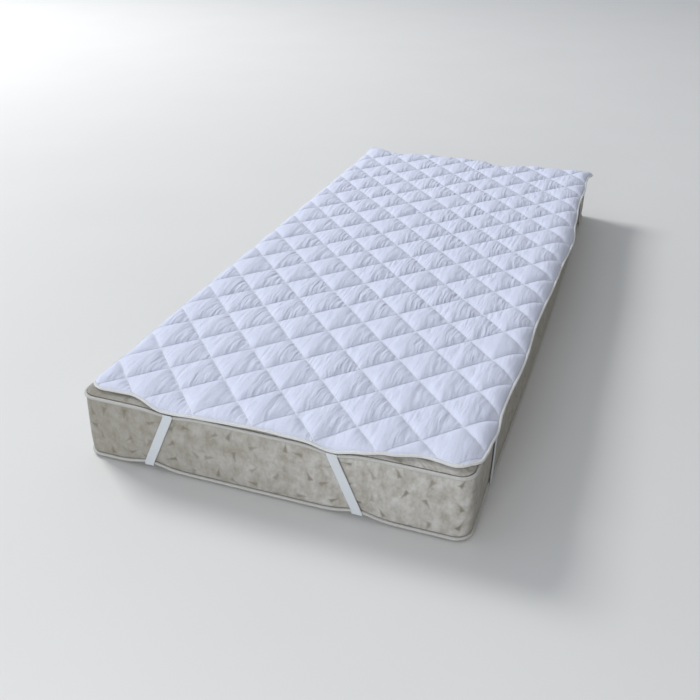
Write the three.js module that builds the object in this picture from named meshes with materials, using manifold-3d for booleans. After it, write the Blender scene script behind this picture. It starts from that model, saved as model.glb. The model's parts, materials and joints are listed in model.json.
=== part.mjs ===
// A quilted mattress pad with elastic corner straps, lying on the mattress that it protects.
// Millimetres, +Z up. The origin is the middle of the mattress's underside, -Y is the foot end
// and +X is the right side as seen from the foot.

import * as THREE from 'three';
import { mergeVertices } from 'three/addons/utils/BufferGeometryUtils.js';
import Module from 'manifold-3d';

// Driving dimensions of the mattress
const MATTRESS = { width: 900, length: 2000, cornerRadius: 45 };
const RIM_HEIGHT = 160;            // centre of the welt round the top edge
const LOW_WELT_HEIGHT = 8;         // centre of the welt round the bottom edge
const LOW_WELT_BULGE = 0.6;        // its share of the border's swelling
const CROWN = 11;                  // the top panel stands this much above the top welt
const WELT_RADIUS = 4;
const WELT_SIDES = 5;
const END_BULGE = 3;               // the border swells at mid height, a little at the ends
const SIDE_BULGE = 17;             // and more along the sides
const SIDE_BULGE_REACH = 800;      // the swelling ends at the side straps
const SIDE_BULGE_FULLNESS = 0.8;   // below 1 the sides are straighter between the straps
const LEAST_CORNER_RADIUS = 12;    // of the rings inside the border
const CORNER_STEPS = 3;
const SIDE_STRAP_ZONE = { middle: 810, half: 130 };   // finely stepped part of a side
const SPARSE_STEPS = 4;            // quilting grid lines between steps in the rest of a side
const CORNER_CLEARANCE = 8;        // least distance from a border step to the corner's arc

// Driving dimensions of the pad
const SEAM_THICKNESS = 4.6;        // the pad's thickness where it is stitched
const PUFF_HEIGHT = 11;            // rise of a diamond above its seams
const PUFF_FULLNESS = 0.55;        // below 1 the diamonds are flat on top and steep at the seams
const PAD_REST = 0.4;              // the pad lies this close to the mattress's flat top
const PAD_FOLLOWS = 0.9;           // share of a strap's hollow that the stiffer pad follows
const PAD_CORNER_RADIUS = 45;
const BINDING_WIDTH = 5;
const BINDING_LIP = 0.3;           // the tape stands proud of the pad on both faces
const GAP = 0.3;                   // between pieces that touch on the real thing

// The quilting: crossings of its seams lie at these half diagonals from one of them
const HALF_DIAGONAL = { x: 70, y: 74.5 };
const CROSSING = { x: -166.7, y: -698 };
const STEPS = 2;                   // grid steps in a half diagonal
const STEP = { x: HALF_DIAGONAL.x / STEPS, y: HALF_DIAGONAL.y / STEPS };
const INNER_COLUMNS = { first: -7, last: 17 };   // grid lines counted from the crossing
const INNER_ROWS = { first: -7, last: 45 };
const FRAME_CELLS = 4;             // the underside is shaped this many cells in from its edge

// The elastic straps
const STRAP = { width: 22, thickness: 1.4, float: 1.5, wrap: 0.8, under: 1.9 };
const STRAP_LAP = 2;               // a strap starts this far in under the tape
const STRAP_RIM = { inset: 3, tilt: 0.5 };        // it bends over the panel's rim here
const STRAP_PANEL = { inset: 10, tilt: 0.3, least: 15 };   // and here, where it starts further in
const FACE_SHARES = [0, 0.35, 0.7, 1];            // its steps down a face
const CORNER_SHARES = [0.07, 0.16, 0.28, 0.5, 0.72, 0.84, 0.93];   // and across under a corner
const TURN_SHARE = 0.28;           // it turns from square to slanting within this share
const GROOVE = { sideRoom: 2, room: 0.5, beyond: 14, low: -5 };
const REACH_IN = 90;               // a strap's pull fades to nothing this far in from the edge
const LONGEST_MITRE = 0.6;         // least cosine that stretches the tape's corner

// One row for each strap: which end and side it joins, where it leaves the pad's end edge (x) and
// side edge (y), where it turns under the mattress, how deep it pulls the top edge down at the end
// and at the side, how wide that hollow is, and how far it lifts the bottom edge
const STRAPS = [
  { name: 'strap_foot_left', end: -1, side: -1, endTop: -225, endLow: -284, sideTop: -790, sideLow: -828,
    endDip: 6, sideDip: 4, spread: 45, lift: 12 },
  { name: 'strap_foot_right', end: -1, side: 1, endTop: 157, endLow: 213, sideTop: -775, sideLow: -808,
    endDip: 10, sideDip: 6, spread: 42, lift: 12 },
  { name: 'strap_head_left', end: 1, side: -1, endTop: -292, endLow: -345, sideTop: 800, sideLow: 840,
    endDip: 14, sideDip: 4, spread: 48, lift: 12 },
  { name: 'strap_head_right', end: 1, side: 1, endTop: 130, endLow: 190, sideTop: 800, sideLow: 845,
    endDip: 20, sideDip: 4, spread: 60, lift: 12 },
];

// The pad's outer edge, tape included: how far out it reaches at places along each side
const FOOT_EDGE = [
  { at: -450, reach: 984 }, { at: -335, reach: 980 }, { at: -240, reach: 1004 }, { at: -170, reach: 1005 },
  { at: 0, reach: 1000 }, { at: 80, reach: 1002 }, { at: 157, reach: 1006 }, { at: 215, reach: 1002 },
  { at: 270, reach: 992 }, { at: 345, reach: 978 }, { at: 408, reach: 985 }, { at: 470, reach: 979 },
];
const HEAD_EDGE = [
  { at: -450, reach: 998 }, { at: -350, reach: 1000 }, { at: -292, reach: 1005 }, { at: -230, reach: 1000 },
  { at: -60, reach: 999 }, { at: 40, reach: 1001 }, { at: 130, reach: 1006 }, { at: 210, reach: 1001 },
  { at: 350, reach: 1000 }, { at: 470, reach: 1003 },
];
const RIGHT_EDGE = [
  { at: -1000, reach: 452 }, { at: -880, reach: 462 }, { at: -827, reach: 466 }, { at: -750, reach: 461 },
  { at: -490, reach: 470 }, { at: -330, reach: 466 }, { at: 40, reach: 476 }, { at: 320, reach: 485 },
  { at: 464, reach: 473 }, { at: 668, reach: 463 }, { at: 830, reach: 465 }, { at: 1000, reach: 466 },
];
const LEFT_EDGE = [
  { at: -1000, reach: 447 }, { at: -450, reach: 446 }, { at: 200, reach: 438 }, { at: 1000, reach: 430 },
];

// Height of the pad's underside above the top welt, by distance in from the mattress's edge: it
// clears the welt and bends down past it where it overhangs
const COVER = [
  { inset: -40, rise: -13 }, { inset: -28, rise: -6 }, { inset: -18, rise: -0.5 }, { inset: -10, rise: 3.6 },
  { inset: -4, rise: 6 }, { inset: 0, rise: 7.2 }, { inset: 6, rise: 9.2 }, { inset: 12, rise: 11.2 },
  { inset: 22, rise: 12.9 }, { inset: 40, rise: 12.7 }, { inset: 75, rise: 11.8 },
  { inset: REACH_IN, rise: CROWN + PAD_REST },
];

// The top panel's height above the top welt, by distance in from the edge
const PANEL = [
  { inset: 3, rise: 5.4 }, { inset: 10, rise: 8.2 }, { inset: 24, rise: 10.4 }, { inset: 50, rise: CROWN },
  { inset: REACH_IN + 5, rise: CROWN },
];

// The mattress's section below that, from the middle of its underside up the border: distance in
// from the edge, height, share of the border's bulge, of the straps' lift and of their dip. A
// notch holds each welt
const NOTCH = 6.2;
const BORDER = [
  { inset: REACH_IN + 5, z: 0, bulge: 0, lift: 1, dip: 0 },
  { inset: 45, z: 0, bulge: 0, lift: 1, dip: 0 },
  { inset: 14, z: 0, bulge: 0, lift: 1, dip: 0 },
  { inset: 3, z: 2.2, bulge: LOW_WELT_BULGE, lift: 1, dip: 0 },
  { inset: NOTCH, z: LOW_WELT_HEIGHT, bulge: LOW_WELT_BULGE, lift: 1, dip: 0 },
  { inset: 0, z: LOW_WELT_HEIGHT + NOTCH, bulge: LOW_WELT_BULGE, lift: 1, dip: 0 },
  { inset: 0, z: 45, bulge: 1, lift: 0.4, dip: 0 },
  { inset: 0, z: 85, bulge: 0.9, lift: 0.1, dip: 0.1 },
  { inset: 0, z: 125, bulge: 0.45, lift: 0, dip: 0.5 },
  { inset: 0, z: RIM_HEIGHT - NOTCH, bulge: 0, lift: 0, dip: 1 },
  { inset: NOTCH, z: RIM_HEIGHT, bulge: 0, lift: 0, dip: 1 },
];

// Value of a named column at a place between two rows of a table
function between(table, key, value, place, ease) {
  const last = table.length - 1;
  if (place <= table[0][key]) return table[0][value];
  if (place >= table[last][key]) return table[last][value];
  const next = table.findIndex((row) => row[key] > place);
  const [a, b] = [table[next - 1], table[next]];
  return a[value] + (b[value] - a[value]) * ease((place - a[key]) / (b[key] - a[key]));
}

function riseAt(table, inset) {
  return between(table, 'inset', 'rise', inset, (share) => share);
}

function reachAt(table, place) {
  return between(table, 'at', 'reach', place, (share) => share * share * (3 - 2 * share));
}

function bell(distance, spread) {
  return Math.exp(-((distance / spread) ** 2));
}

// 1 at the mattress's edge and beyond it, 0 from REACH_IN inwards
function fadeIn(inset) {
  const share = THREE.MathUtils.clamp(inset / REACH_IN, 0, 1);
  return Math.cos(share * Math.PI / 2) ** 2;
}

// Distance in from the mattress's end and side edges
function insetOf(x, y) {
  return { end: MATTRESS.length / 2 - Math.abs(y), side: MATTRESS.width / 2 - Math.abs(x) };
}

// How far the straps pull the top edge down, as deep as at the edge itself
function topPull(x, y, inset) {
  let pull = 0;
  for (const strap of STRAPS) {
    if (Math.sign(y) === strap.end) {
      pull += strap.endDip * bell(x - strap.endTop, strap.spread) * fadeIn(inset.end);
    }
    if (Math.sign(x) === strap.side) {
      pull += strap.sideDip * bell(y - strap.sideTop, strap.spread) * fadeIn(inset.side);
    }
  }
  return pull;
}

// How far they lift the bottom edge
function lowLift(x, y, inset) {
  let lift = 0;
  for (const strap of STRAPS) {
    if (Math.sign(y) === strap.end) {
      lift += strap.lift * bell(x - strap.endLow, strap.spread) * fadeIn(inset.end);
    }
    if (Math.sign(x) === strap.side) {
      lift += strap.lift * bell(y - strap.sideLow, strap.spread) * fadeIn(inset.side);
    }
  }
  return lift;
}

// A closed mesh from its points and triangles, turned so that its faces point out
function closedGeometry(points, triangles) {
  let volume = 0;
  for (const [a, b, c] of triangles) {
    volume += points[a].dot(new THREE.Vector3().crossVectors(points[b], points[c]));
  }
  const turned = volume < 0 ? triangles.map(([a, b, c]) => [a, c, b]) : triangles;
  const geometry = new THREE.BufferGeometry();
  geometry.setAttribute('position', new THREE.Float32BufferAttribute(points.flatMap((p) => p.toArray()), 3));
  geometry.setIndex(turned.flat());
  return geometry;
}

// Triangles between two neighbouring rings of a stack
function ringStrip(triangles, lowStart, highStart, count) {
  for (let i = 0; i < count; i++) {
    const j = (i + 1) % count;
    triangles.push([lowStart + i, lowStart + j, highStart + j]);
    triangles.push([lowStart + i, highStart + j, highStart + i]);
  }
}

function middleOf(ring) {
  const middle = new THREE.Vector3();
  ring.forEach((point) => middle.add(point));
  return middle.divideScalar(ring.length);
}

// A body from rings of equal count, closed at both ends by a fan round the ring's middle
function stackOfRings(rings) {
  const count = rings[0].length;
  const points = rings.flat();
  const triangles = [];
  for (let r = 0; r + 1 < rings.length; r++) {
    ringStrip(triangles, r * count, (r + 1) * count, count);
  }
  const lastStart = (rings.length - 1) * count;
  const lowMiddle = points.push(middleOf(rings[0])) - 1;
  const highMiddle = points.push(middleOf(rings[rings.length - 1])) - 1;
  for (let i = 0; i < count; i++) {
    const j = (i + 1) % count;
    triangles.push([lowMiddle, j, i]);
    triangles.push([highMiddle, lastStart + i, lastStart + j]);
  }
  return closedGeometry(points, triangles);
}

// A body from sections that follow each other round a closed path
function loopOfSections(sections) {
  const count = sections[0].length;
  const triangles = [];
  for (let s = 0; s < sections.length; s++) {
    ringStrip(triangles, s * count, ((s + 1) % sections.length) * count, count);
  }
  return closedGeometry(sections.flat(), triangles);
}

// Quilting grid lines that the mattress's border shares, so that both follow the same hollows
function gridLines(origin, step, range, reach, keep) {
  const lines = [];
  for (let k = range.first; k <= range.last; k++) {
    const place = origin + k * step;
    if (Math.abs(place) < reach && keep(place, k)) lines.push(place);
  }
  return lines;
}

// Places round the mattress's border, from the foot's left corner round by the right side
function borderStations() {
  const half = { x: MATTRESS.width / 2, y: MATTRESS.length / 2 };
  const straight = { x: half.x - MATTRESS.cornerRadius, y: half.y - MATTRESS.cornerRadius };
  const nearStrap = (place) => Math.abs(Math.abs(place) - SIDE_STRAP_ZONE.middle) < SIDE_STRAP_ZONE.half;
  const alongEnds = gridLines(CROSSING.x, STEP.x, INNER_COLUMNS, straight.x - CORNER_CLEARANCE, () => true);
  const alongSides = gridLines(CROSSING.y, STEP.y, INNER_ROWS, straight.y - CORNER_CLEARANCE,
    (place, k) => nearStrap(place) || k % SPARSE_STEPS === 0);
  const stations = [];
  const corner = (sideX, sideY, from) => {
    for (let k = 0; k <= CORNER_STEPS; k++) {
      const angle = from + k / CORNER_STEPS * Math.PI / 2;
      stations.push({ sideX, sideY, cos: Math.cos(angle), sin: Math.sin(angle) });
    }
  };
  alongEnds.forEach((x) => stations.push({ x, sideY: -1 }));
  corner(1, -1, -Math.PI / 2);
  alongSides.forEach((y) => stations.push({ y, sideX: 1 }));
  corner(1, 1, 0);
  alongEnds.toReversed().forEach((x) => stations.push({ x, sideY: 1 }));
  corner(-1, 1, Math.PI / 2);
  alongSides.toReversed().forEach((y) => stations.push({ y, sideX: -1 }));
  corner(-1, -1, Math.PI);
  return stations;
}

// A station's place on the border, moved in by a distance. The rounded corners shrink with it
function borderPoint(station, inset) {
  const half = { x: MATTRESS.width / 2 - inset, y: MATTRESS.length / 2 - inset };
  const radius = Math.max(MATTRESS.cornerRadius - inset, LEAST_CORNER_RADIUS);
  if (station.cos !== undefined) {
    return {
      x: station.sideX * (half.x - radius) + radius * station.cos,
      y: station.sideY * (half.y - radius) + radius * station.sin,
    };
  }
  if (station.x !== undefined) {
    return { x: station.x * half.x / (MATTRESS.width / 2), y: station.sideY * half.y };
  }
  return { x: station.sideX * half.x, y: station.y * half.y / (MATTRESS.length / 2) };
}

// The way out of the mattress at a station
function outwardAt(station) {
  if (station.cos !== undefined) return { x: station.cos, y: station.sin };
  return station.x === undefined ? { x: station.sideX, y: 0 } : { x: 0, y: station.sideY };
}

function bulgeAt(station, point) {
  if (station.y === undefined) return END_BULGE;
  const share = Math.abs(point.y) / SIDE_BULGE_REACH;
  const swell = share < 1 ? (1 - share * share) ** SIDE_BULGE_FULLNESS : 0;
  return END_BULGE + (SIDE_BULGE - END_BULGE) * swell;
}

const STATIONS = borderStations();

function mattressRings() {
  const panel = PANEL.map(({ inset, rise }) => ({ inset, z: RIM_HEIGHT + rise, bulge: 0, lift: 0, dip: 1 }));
  return [...BORDER, ...panel].map((level) => STATIONS.map((station) => {
    const { x, y } = borderPoint(station, level.inset);
    const out = outwardAt(station);
    const swell = level.bulge * bulgeAt(station, borderPoint(station, 0));
    const pulled = level.inset > NOTCH ? { x, y } : borderPoint(station, 0);
    const inset = insetOf(pulled.x, pulled.y);
    const lift = level.lift * lowLift(pulled.x, pulled.y, inset);
    const dip = level.dip * topPull(pulled.x, pulled.y, inset);
    return new THREE.Vector3(x + out.x * swell, y + out.y * swell, level.z + lift - dip);
  }));
}

// A welt is a cord covered in cloth, sewn into the seam between the border and a panel
function weltGeometry(height, bulge, pulled) {
  const sections = STATIONS.map((station) => {
    const { x, y } = borderPoint(station, 0);
    const out = outwardAt(station);
    const z = height + pulled(x, y, insetOf(x, y));
    const swell = bulge * bulgeAt(station, { x, y });
    const section = [];
    for (let k = 0; k < WELT_SIDES; k++) {
      const angle = 2 * Math.PI * k / WELT_SIDES;
      const reach = swell + WELT_RADIUS * Math.cos(angle);
      section.push(new THREE.Vector3(x + out.x * reach, y + out.y * reach, z + WELT_RADIUS * Math.sin(angle)));
    }
    return section;
  });
  return loopOfSections(sections);
}

// The pad's underside
function underside(x, y) {
  const inset = insetOf(x, y);
  const nearest = Math.min(inset.end, inset.side);
  return RIM_HEIGHT + riseAt(COVER, nearest) - PAD_FOLLOWS * topPull(x, y, inset);
}

// Rise of the quilting above its seams
function puff(x, y) {
  const m = (x - CROSSING.x) / HALF_DIAGONAL.x;
  const n = (y - CROSSING.y) / HALF_DIAGONAL.y;
  const across = Math.abs(Math.sin(Math.PI * (m - n) / 2));
  const along = Math.abs(Math.sin(Math.PI * (m + n) / 2));
  return PUFF_HEIGHT * (across * along) ** PUFF_FULLNESS;
}

// The grid that carries the quilting: its inner lines follow the seams' crossings and its outer
// lines follow the pad's own wavy edge, with one line half way between
function padGrid() {
  const tape = BINDING_WIDTH + GAP;
  const columnCount = INNER_COLUMNS.last - INNER_COLUMNS.first + 5;
  const rowCount = INNER_ROWS.last - INNER_ROWS.first + 5;
  const line = (index, count, inner, origin, step, lowEdge, highEdge) => {
    const place = (k) => origin + (inner.first + k) * step;
    const firstInner = place(0);
    const lastInner = place(inner.last - inner.first);
    if (index === 0) return lowEdge;
    if (index === 1) return (lowEdge + firstInner) / 2;
    if (index === count - 2) return (highEdge + lastInner) / 2;
    if (index === count - 1) return highEdge;
    return place(index - 2);
  };
  const columnAt = (c, y) => line(c, columnCount, INNER_COLUMNS, CROSSING.x, STEP.x,
    tape - reachAt(LEFT_EDGE, y), reachAt(RIGHT_EDGE, y) - tape);
  const rowAt = (r, x) => line(r, rowCount, INNER_ROWS, CROSSING.y, STEP.y,
    tape - reachAt(FOOT_EDGE, x), reachAt(HEAD_EDGE, x) - tape);
  const nodes = [];
  for (let c = 0; c < columnCount; c++) {
    nodes.push([]);
    for (let r = 0; r < rowCount; r++) {
      const roughX = columnAt(c, rowAt(r, 0));
      const y = rowAt(r, roughX);
      nodes[c].push(roundedCorner(columnAt(c, y), y, columnAt(0, y), columnAt(columnCount - 1, y),
        rowAt(0, roughX), rowAt(rowCount - 1, roughX)));
    }
  }
  return nodes;
}

// A point of the square-cornered outline, drawn in where the pad's corner is round
function roundedCorner(x, y, left, right, foot, head) {
  const radius = PAD_CORNER_RADIUS;
  const centre = {
    x: x < 0 ? left + radius : right - radius,
    y: y < 0 ? foot + radius : head - radius,
  };
  const over = {
    x: Math.max(0, (x - centre.x) * Math.sign(x)),
    y: Math.max(0, (y - centre.y) * Math.sign(y)),
  };
  const length = Math.hypot(over.x, over.y);
  if (length === 0 || over.x === 0 || over.y === 0) return { x, y };
  const share = Math.max(over.x, over.y) / length;
  return {
    x: centre.x + Math.sign(x) * over.x * share,
    y: centre.y + Math.sign(y) * over.y * share,
  };
}

// Column and row of each grid node round the pad's edge, in order
function padRim(grid) {
  const lastColumn = grid.length - 1;
  const lastRow = grid[0].length - 1;
  const rim = [];
  for (let c = 0; c < lastColumn; c++) rim.push([c, 0]);
  for (let r = 0; r < lastRow; r++) rim.push([lastColumn, r]);
  for (let c = lastColumn; c > 0; c--) rim.push([c, lastRow]);
  for (let r = lastRow; r > 0; r--) rim.push([0, r]);
  return rim;
}

function padGeometry(grid) {
  const columns = grid.length;
  const rows = grid[0].length;
  const edgeSteps = (c, r) => Math.min(c, r, columns - 1 - c, rows - 1 - r);
  const points = [];
  const triangles = [];
  const top = grid.map((column, c) => column.map(({ x, y }, r) => {
    const onEdge = edgeSteps(c, r) === 0;
    const z = underside(x, y) + SEAM_THICKNESS + (onEdge ? 0 : puff(x, y));
    return points.push(new THREE.Vector3(x, y, z)) - 1;
  }));
  const low = grid.map((column, c) => column.map(({ x, y }, r) => (
    edgeSteps(c, r) > FRAME_CELLS ? -1 : points.push(new THREE.Vector3(x, y, underside(x, y))) - 1
  )));
  for (let c = 0; c + 1 < columns; c++) {
    for (let r = 0; r + 1 < rows; r++) {
      const cell = [top[c][r], top[c + 1][r], top[c + 1][r + 1], top[c][r + 1]];
      const alongSeam = (c + INNER_COLUMNS.first + r + INNER_ROWS.first) % 2 === 0;
      const [p, q, s, t] = alongSeam ? cell : [cell[1], cell[2], cell[3], cell[0]];
      triangles.push([p, q, s], [p, s, t]);
      const under = [low[c][r], low[c][r + 1], low[c + 1][r + 1], low[c + 1][r]];
      if (!under.includes(-1) && Math.min(edgeSteps(c, r), edgeSteps(c + 1, r + 1)) < FRAME_CELLS) {
        triangles.push([under[0], under[1], under[2]], [under[0], under[2], under[3]]);
      }
    }
  }
  const rim = padRim(grid);
  rim.forEach(([c, r], i) => {
    const [nextC, nextR] = rim[(i + 1) % rim.length];
    triangles.push([low[c][r], low[nextC][nextR], top[nextC][nextR]]);
    triangles.push([low[c][r], top[nextC][nextR], top[c][r]]);
  });
  const flat = padRim(grid.slice(FRAME_CELLS, columns - FRAME_CELLS)
    .map((column) => column.slice(FRAME_CELLS, rows - FRAME_CELLS)));
  const middle = points.push(new THREE.Vector3(0, 0, underside(0, 0))) - 1;
  flat.forEach(([c, r], i) => {
    const [nextC, nextR] = flat[(i + 1) % flat.length];
    const next = low[nextC + FRAME_CELLS][nextR + FRAME_CELLS];
    triangles.push([middle, next, low[c + FRAME_CELLS][r + FRAME_CELLS]]);
  });
  return closedGeometry(points, triangles);
}

// The narrow tape that binds the pad's edge
function bindingGeometry(grid) {
  const rim = padRim(grid).map(([c, r]) => grid[c][r]);
  const sections = rim.map(({ x, y }, i) => {
    const before = rim[(i + rim.length - 1) % rim.length];
    const after = rim[(i + 1) % rim.length];
    const into = new THREE.Vector2(x - before.x, y - before.y).normalize();
    const onward = new THREE.Vector2(after.x - x, after.y - y).normalize();
    const along = into.clone().add(onward).normalize();
    const mitre = 1 / Math.max(LONGEST_MITRE, along.dot(into));
    const out = { x: along.y * mitre, y: -along.x * mitre };
    const low = underside(x, y) - BINDING_LIP;
    const high = underside(x, y) + SEAM_THICKNESS + BINDING_LIP;
    const at = (reach, z) => new THREE.Vector3(x + out.x * reach, y + out.y * reach, z);
    return [at(GAP, low), at(GAP + BINDING_WIDTH, low), at(GAP + BINDING_WIDTH, high), at(GAP, high)];
  });
  return loopOfSections(sections);
}

// One place on a strap: its middle, its half width and the way its outer face points
function strapStep(middle, halfWidth, facing) {
  return { middle: new THREE.Vector3(...middle), halfWidth: new THREE.Vector3(...halfWidth),
    facing: new THREE.Vector3(...facing).normalize() };
}

// The start of a strap, from under the tape at the pad's edge out over the top welt. Where the pad
// reaches past the welt the strap hangs straight from the tape. Each step is a distance out from
// the mattress's edge, a height and a way to face, out and up
function strapStart(reach, half, pull, padUnderside) {
  const off = WELT_RADIUS + STRAP.float;
  const out = reach - half;
  const tapeUnderside = padUnderside - BINDING_LIP - 2 * GAP;
  if (out > WELT_RADIUS) return [{ out: Math.max(out - STRAP_LAP, off), z: tapeUnderside, facing: [1, 0] }];
  const lyingAt = (inset, facing) => ({
    out: -inset,
    z: RIM_HEIGHT + riseAt(PANEL, inset) + STRAP.float + GAP - pull * fadeIn(inset),
    facing,
  });
  const first = lyingAt(STRAP_LAP - out, [0, 1]);
  first.z = Math.min(first.z, tapeUnderside - STRAP.thickness / 2);
  const steps = [first];
  if (-first.out > STRAP_PANEL.least) steps.push(lyingAt(STRAP_PANEL.inset, [STRAP_PANEL.tilt, 1]));
  steps.push(lyingAt(STRAP_RIM.inset, [STRAP_RIM.tilt, 1]));
  steps.push({ out: off * STRAP.wrap, z: RIM_HEIGHT + off * STRAP.wrap - pull, facing: [1, 1] });
  return steps;
}

// A strap from the pad's end edge, down the end, under the corner and up to the side edge. Down
// each face it is cut level, so its half width stays level there, and it turns under the corner
function strapSteps(strap) {
  const half = { x: MATTRESS.width / 2, y: MATTRESS.length / 2 };
  const off = WELT_RADIUS + STRAP.float;
  const tape = BINDING_WIDTH + GAP;
  const slant = { end: strap.endLow - strap.endTop, side: strap.sideLow - strap.sideTop };
  const wrapHeight = LOW_WELT_HEIGHT + strap.lift;
  const drop = RIM_HEIGHT - wrapHeight;
  const lowSwell = LOW_WELT_BULGE * END_BULGE;
  const endReach = reachAt(strap.end < 0 ? FOOT_EDGE : HEAD_EDGE, strap.endTop);
  const sideReach = reachAt(strap.side < 0 ? LEFT_EDGE : RIGHT_EDGE, strap.sideTop);
  const endPull = topPull(strap.endTop, strap.end * half.y, { end: 0, side: half.x });
  const sidePull = topPull(strap.side * half.x, strap.sideTop, { end: half.y, side: 0 });
  const onEnd = {
    halfWidth: [STRAP.width / 2 * Math.hypot(slant.end, drop) / drop * strap.side, 0, 0],
    place: (out, share, z) => [strap.endTop + slant.end * share, strap.end * (half.y + out), z],
    facing: ([out, up]) => [0, strap.end * out, up],
    start: strapStart(endReach, half.y, endPull, underside(strap.endTop, strap.end * (endReach - tape))),
    high: RIM_HEIGHT - endPull,
  };
  const onSide = {
    halfWidth: [0, STRAP.width / 2 * Math.hypot(slant.side, drop) / drop * strap.end, 0],
    place: (out, share, z) => [strap.side * (half.x + out), strap.sideTop + slant.side * share, z],
    facing: ([out, up]) => [strap.side * out, 0, up],
    start: strapStart(sideReach, half.x, sidePull, underside(strap.side * (sideReach - tape), strap.sideTop)),
    high: RIM_HEIGHT - sidePull,
  };
  const downFace = (face) => {
    const step = (out, share, z, facing) => (
      strapStep(face.place(out, share, z), face.halfWidth, face.facing(facing)));
    const steps = face.start.map(({ out, z, facing }) => step(out, 0, z, facing));
    for (const share of FACE_SHARES) {
      steps.push(step(off + lowSwell * share, share, face.high + (wrapHeight - face.high) * share, [1, 0]));
    }
    steps.push(step(lowSwell + off * STRAP.wrap, 1, wrapHeight - off * STRAP.wrap - STRAP.under, [1, -1]));
    steps.push(step(lowSwell, 1, wrapHeight - off - STRAP.under, [0, -1]));
    return steps;
  };
  const from = new THREE.Vector2(strap.endLow, strap.end * half.y);
  const to = new THREE.Vector2(strap.side * half.x, strap.sideLow);
  const across = to.clone().sub(from).normalize();
  const square = new THREE.Vector2(across.y, -across.x);
  if (square.x * strap.side < 0) square.negate();
  const turned = (share) => THREE.MathUtils.clamp(1 - share / TURN_SHARE, 0, 1);
  const underCorner = CORNER_SHARES.map((share) => {
    const spot = from.clone().lerp(to, share);
    const lift = lowLift(spot.x, spot.y, insetOf(spot.x, spot.y));
    const halfWidth = new THREE.Vector3(square.x, square.y, 0).setLength(STRAP.width / 2)
      .lerp(new THREE.Vector3(...onEnd.halfWidth), turned(share))
      .lerp(new THREE.Vector3(...onSide.halfWidth), turned(1 - share))
      .setLength(STRAP.width / 2);
    return strapStep([spot.x, spot.y, STRAP.float + lift], halfWidth.toArray(), [0, 0, -1]);
  });
  return [...downFace(onEnd), ...underCorner, ...downFace(onSide).toReversed()];
}

function strapGeometry(steps) {
  return stackOfRings(steps.map(({ middle, halfWidth, facing }) => {
    const outer = facing.clone().multiplyScalar(STRAP.thickness / 2);
    return [
      middle.clone().sub(halfWidth).add(outer), middle.clone().add(halfWidth).add(outer),
      middle.clone().add(halfWidth).sub(outer), middle.clone().sub(halfWidth).sub(outer),
    ];
  }));
}

// The room that a strap needs under the mattress, from just above it down past the surface
function grooveGeometry(steps) {
  const facingDown = -0.9;
  const under = steps.filter(({ facing }) => facing.z < facingDown);
  const start = under[0];
  const finish = under[under.length - 1];
  const beyond = ({ middle, halfWidth, facing }, next) => {
    const onward = middle.clone().sub(next.middle).setLength(GROOVE.beyond);
    return { middle: middle.clone().add(onward).setZ(middle.z), halfWidth, facing };
  };
  const path = [beyond(start, under[1]), ...under, beyond(finish, under[under.length - 2])];
  return stackOfRings(path.map(({ middle, halfWidth }) => {
    const wide = halfWidth.clone().setLength(halfWidth.length() + GROOVE.sideRoom);
    const high = middle.z + STRAP.thickness / 2 + GROOVE.room;
    const at = (sign, z) => middle.clone().addScaledVector(wide, sign).setZ(z);
    return [at(-1, GROOVE.low), at(1, GROOVE.low), at(1, high), at(-1, high)];
  }));
}

const wasm = await Module();
wasm.setup();

function toSolid(geometry) {
  const bare = mergeVertices(geometry.clone(), 1e-4);
  return new wasm.Manifold(new wasm.Mesh({
    numProp: 3,
    vertProperties: new Float32Array(bare.attributes.position.array),
    triVerts: new Uint32Array(bare.index.array),
  }));
}

function fromSolid(solid) {
  const mesh = solid.getMesh();
  const geometry = new THREE.BufferGeometry();
  geometry.setAttribute('position', new THREE.BufferAttribute(new Float32Array(mesh.vertProperties), 3));
  geometry.setIndex(new THREE.BufferAttribute(new Uint32Array(mesh.triVerts), 1));
  return geometry;
}

function mattressGeometry(strapPaths) {
  const whole = toSolid(stackOfRings(mattressRings()));
  return fromSolid(strapPaths.reduce((solid, steps) => solid.subtract(toSolid(grooveGeometry(steps))), whole));
}

const cloth = (colour, roughness) => new THREE.MeshStandardMaterial({ color: colour, roughness, metalness: 0 });
const MATERIALS = {
  padCloth: cloth(0xf1f3f8, 0.85),
  tape: cloth(0xf2efe4, 0.8),
  elastic: cloth(0xe6eaee, 0.75),
  ticking: cloth(0xb9b2a2, 0.8),
  welt: cloth(0xd3d6ca, 0.7),
};

const group = new THREE.Group();

function add(name, geometry, material) {
  const mesh = new THREE.Mesh(geometry, material);
  mesh.name = name;
  group.add(mesh);
}

const strapPaths = STRAPS.map(strapSteps);
const grid = padGrid();
add('mattress', mattressGeometry(strapPaths), MATERIALS.ticking);
add('welt_top', weltGeometry(RIM_HEIGHT, 0, (x, y, inset) => -topPull(x, y, inset)), MATERIALS.welt);
add('welt_bottom', weltGeometry(LOW_WELT_HEIGHT, LOW_WELT_BULGE, lowLift), MATERIALS.welt);
add('pad', padGeometry(grid), MATERIALS.padCloth);
add('binding', bindingGeometry(grid), MATERIALS.tape);
STRAPS.forEach(({ name }, i) => add(name, strapGeometry(strapPaths[i]), MATERIALS.elastic));

export default group;
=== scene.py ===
# %% [markdown]
# A quilted mattress pad on a single mattress
#
# The pad is two cotton cloths with wadding between them, stitched together in diamonds. A narrow
# tape binds its edge, and four elastic straps hold it round the mattress's corners. Everything
# here is built around a fixed frame: plain solids at the real size, which give each piece's place.
# The first cell loads that frame and keeps its box.

# %% The frame and its box
import json
import math

import bpy
import numpy as np
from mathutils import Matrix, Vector, noise

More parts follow.
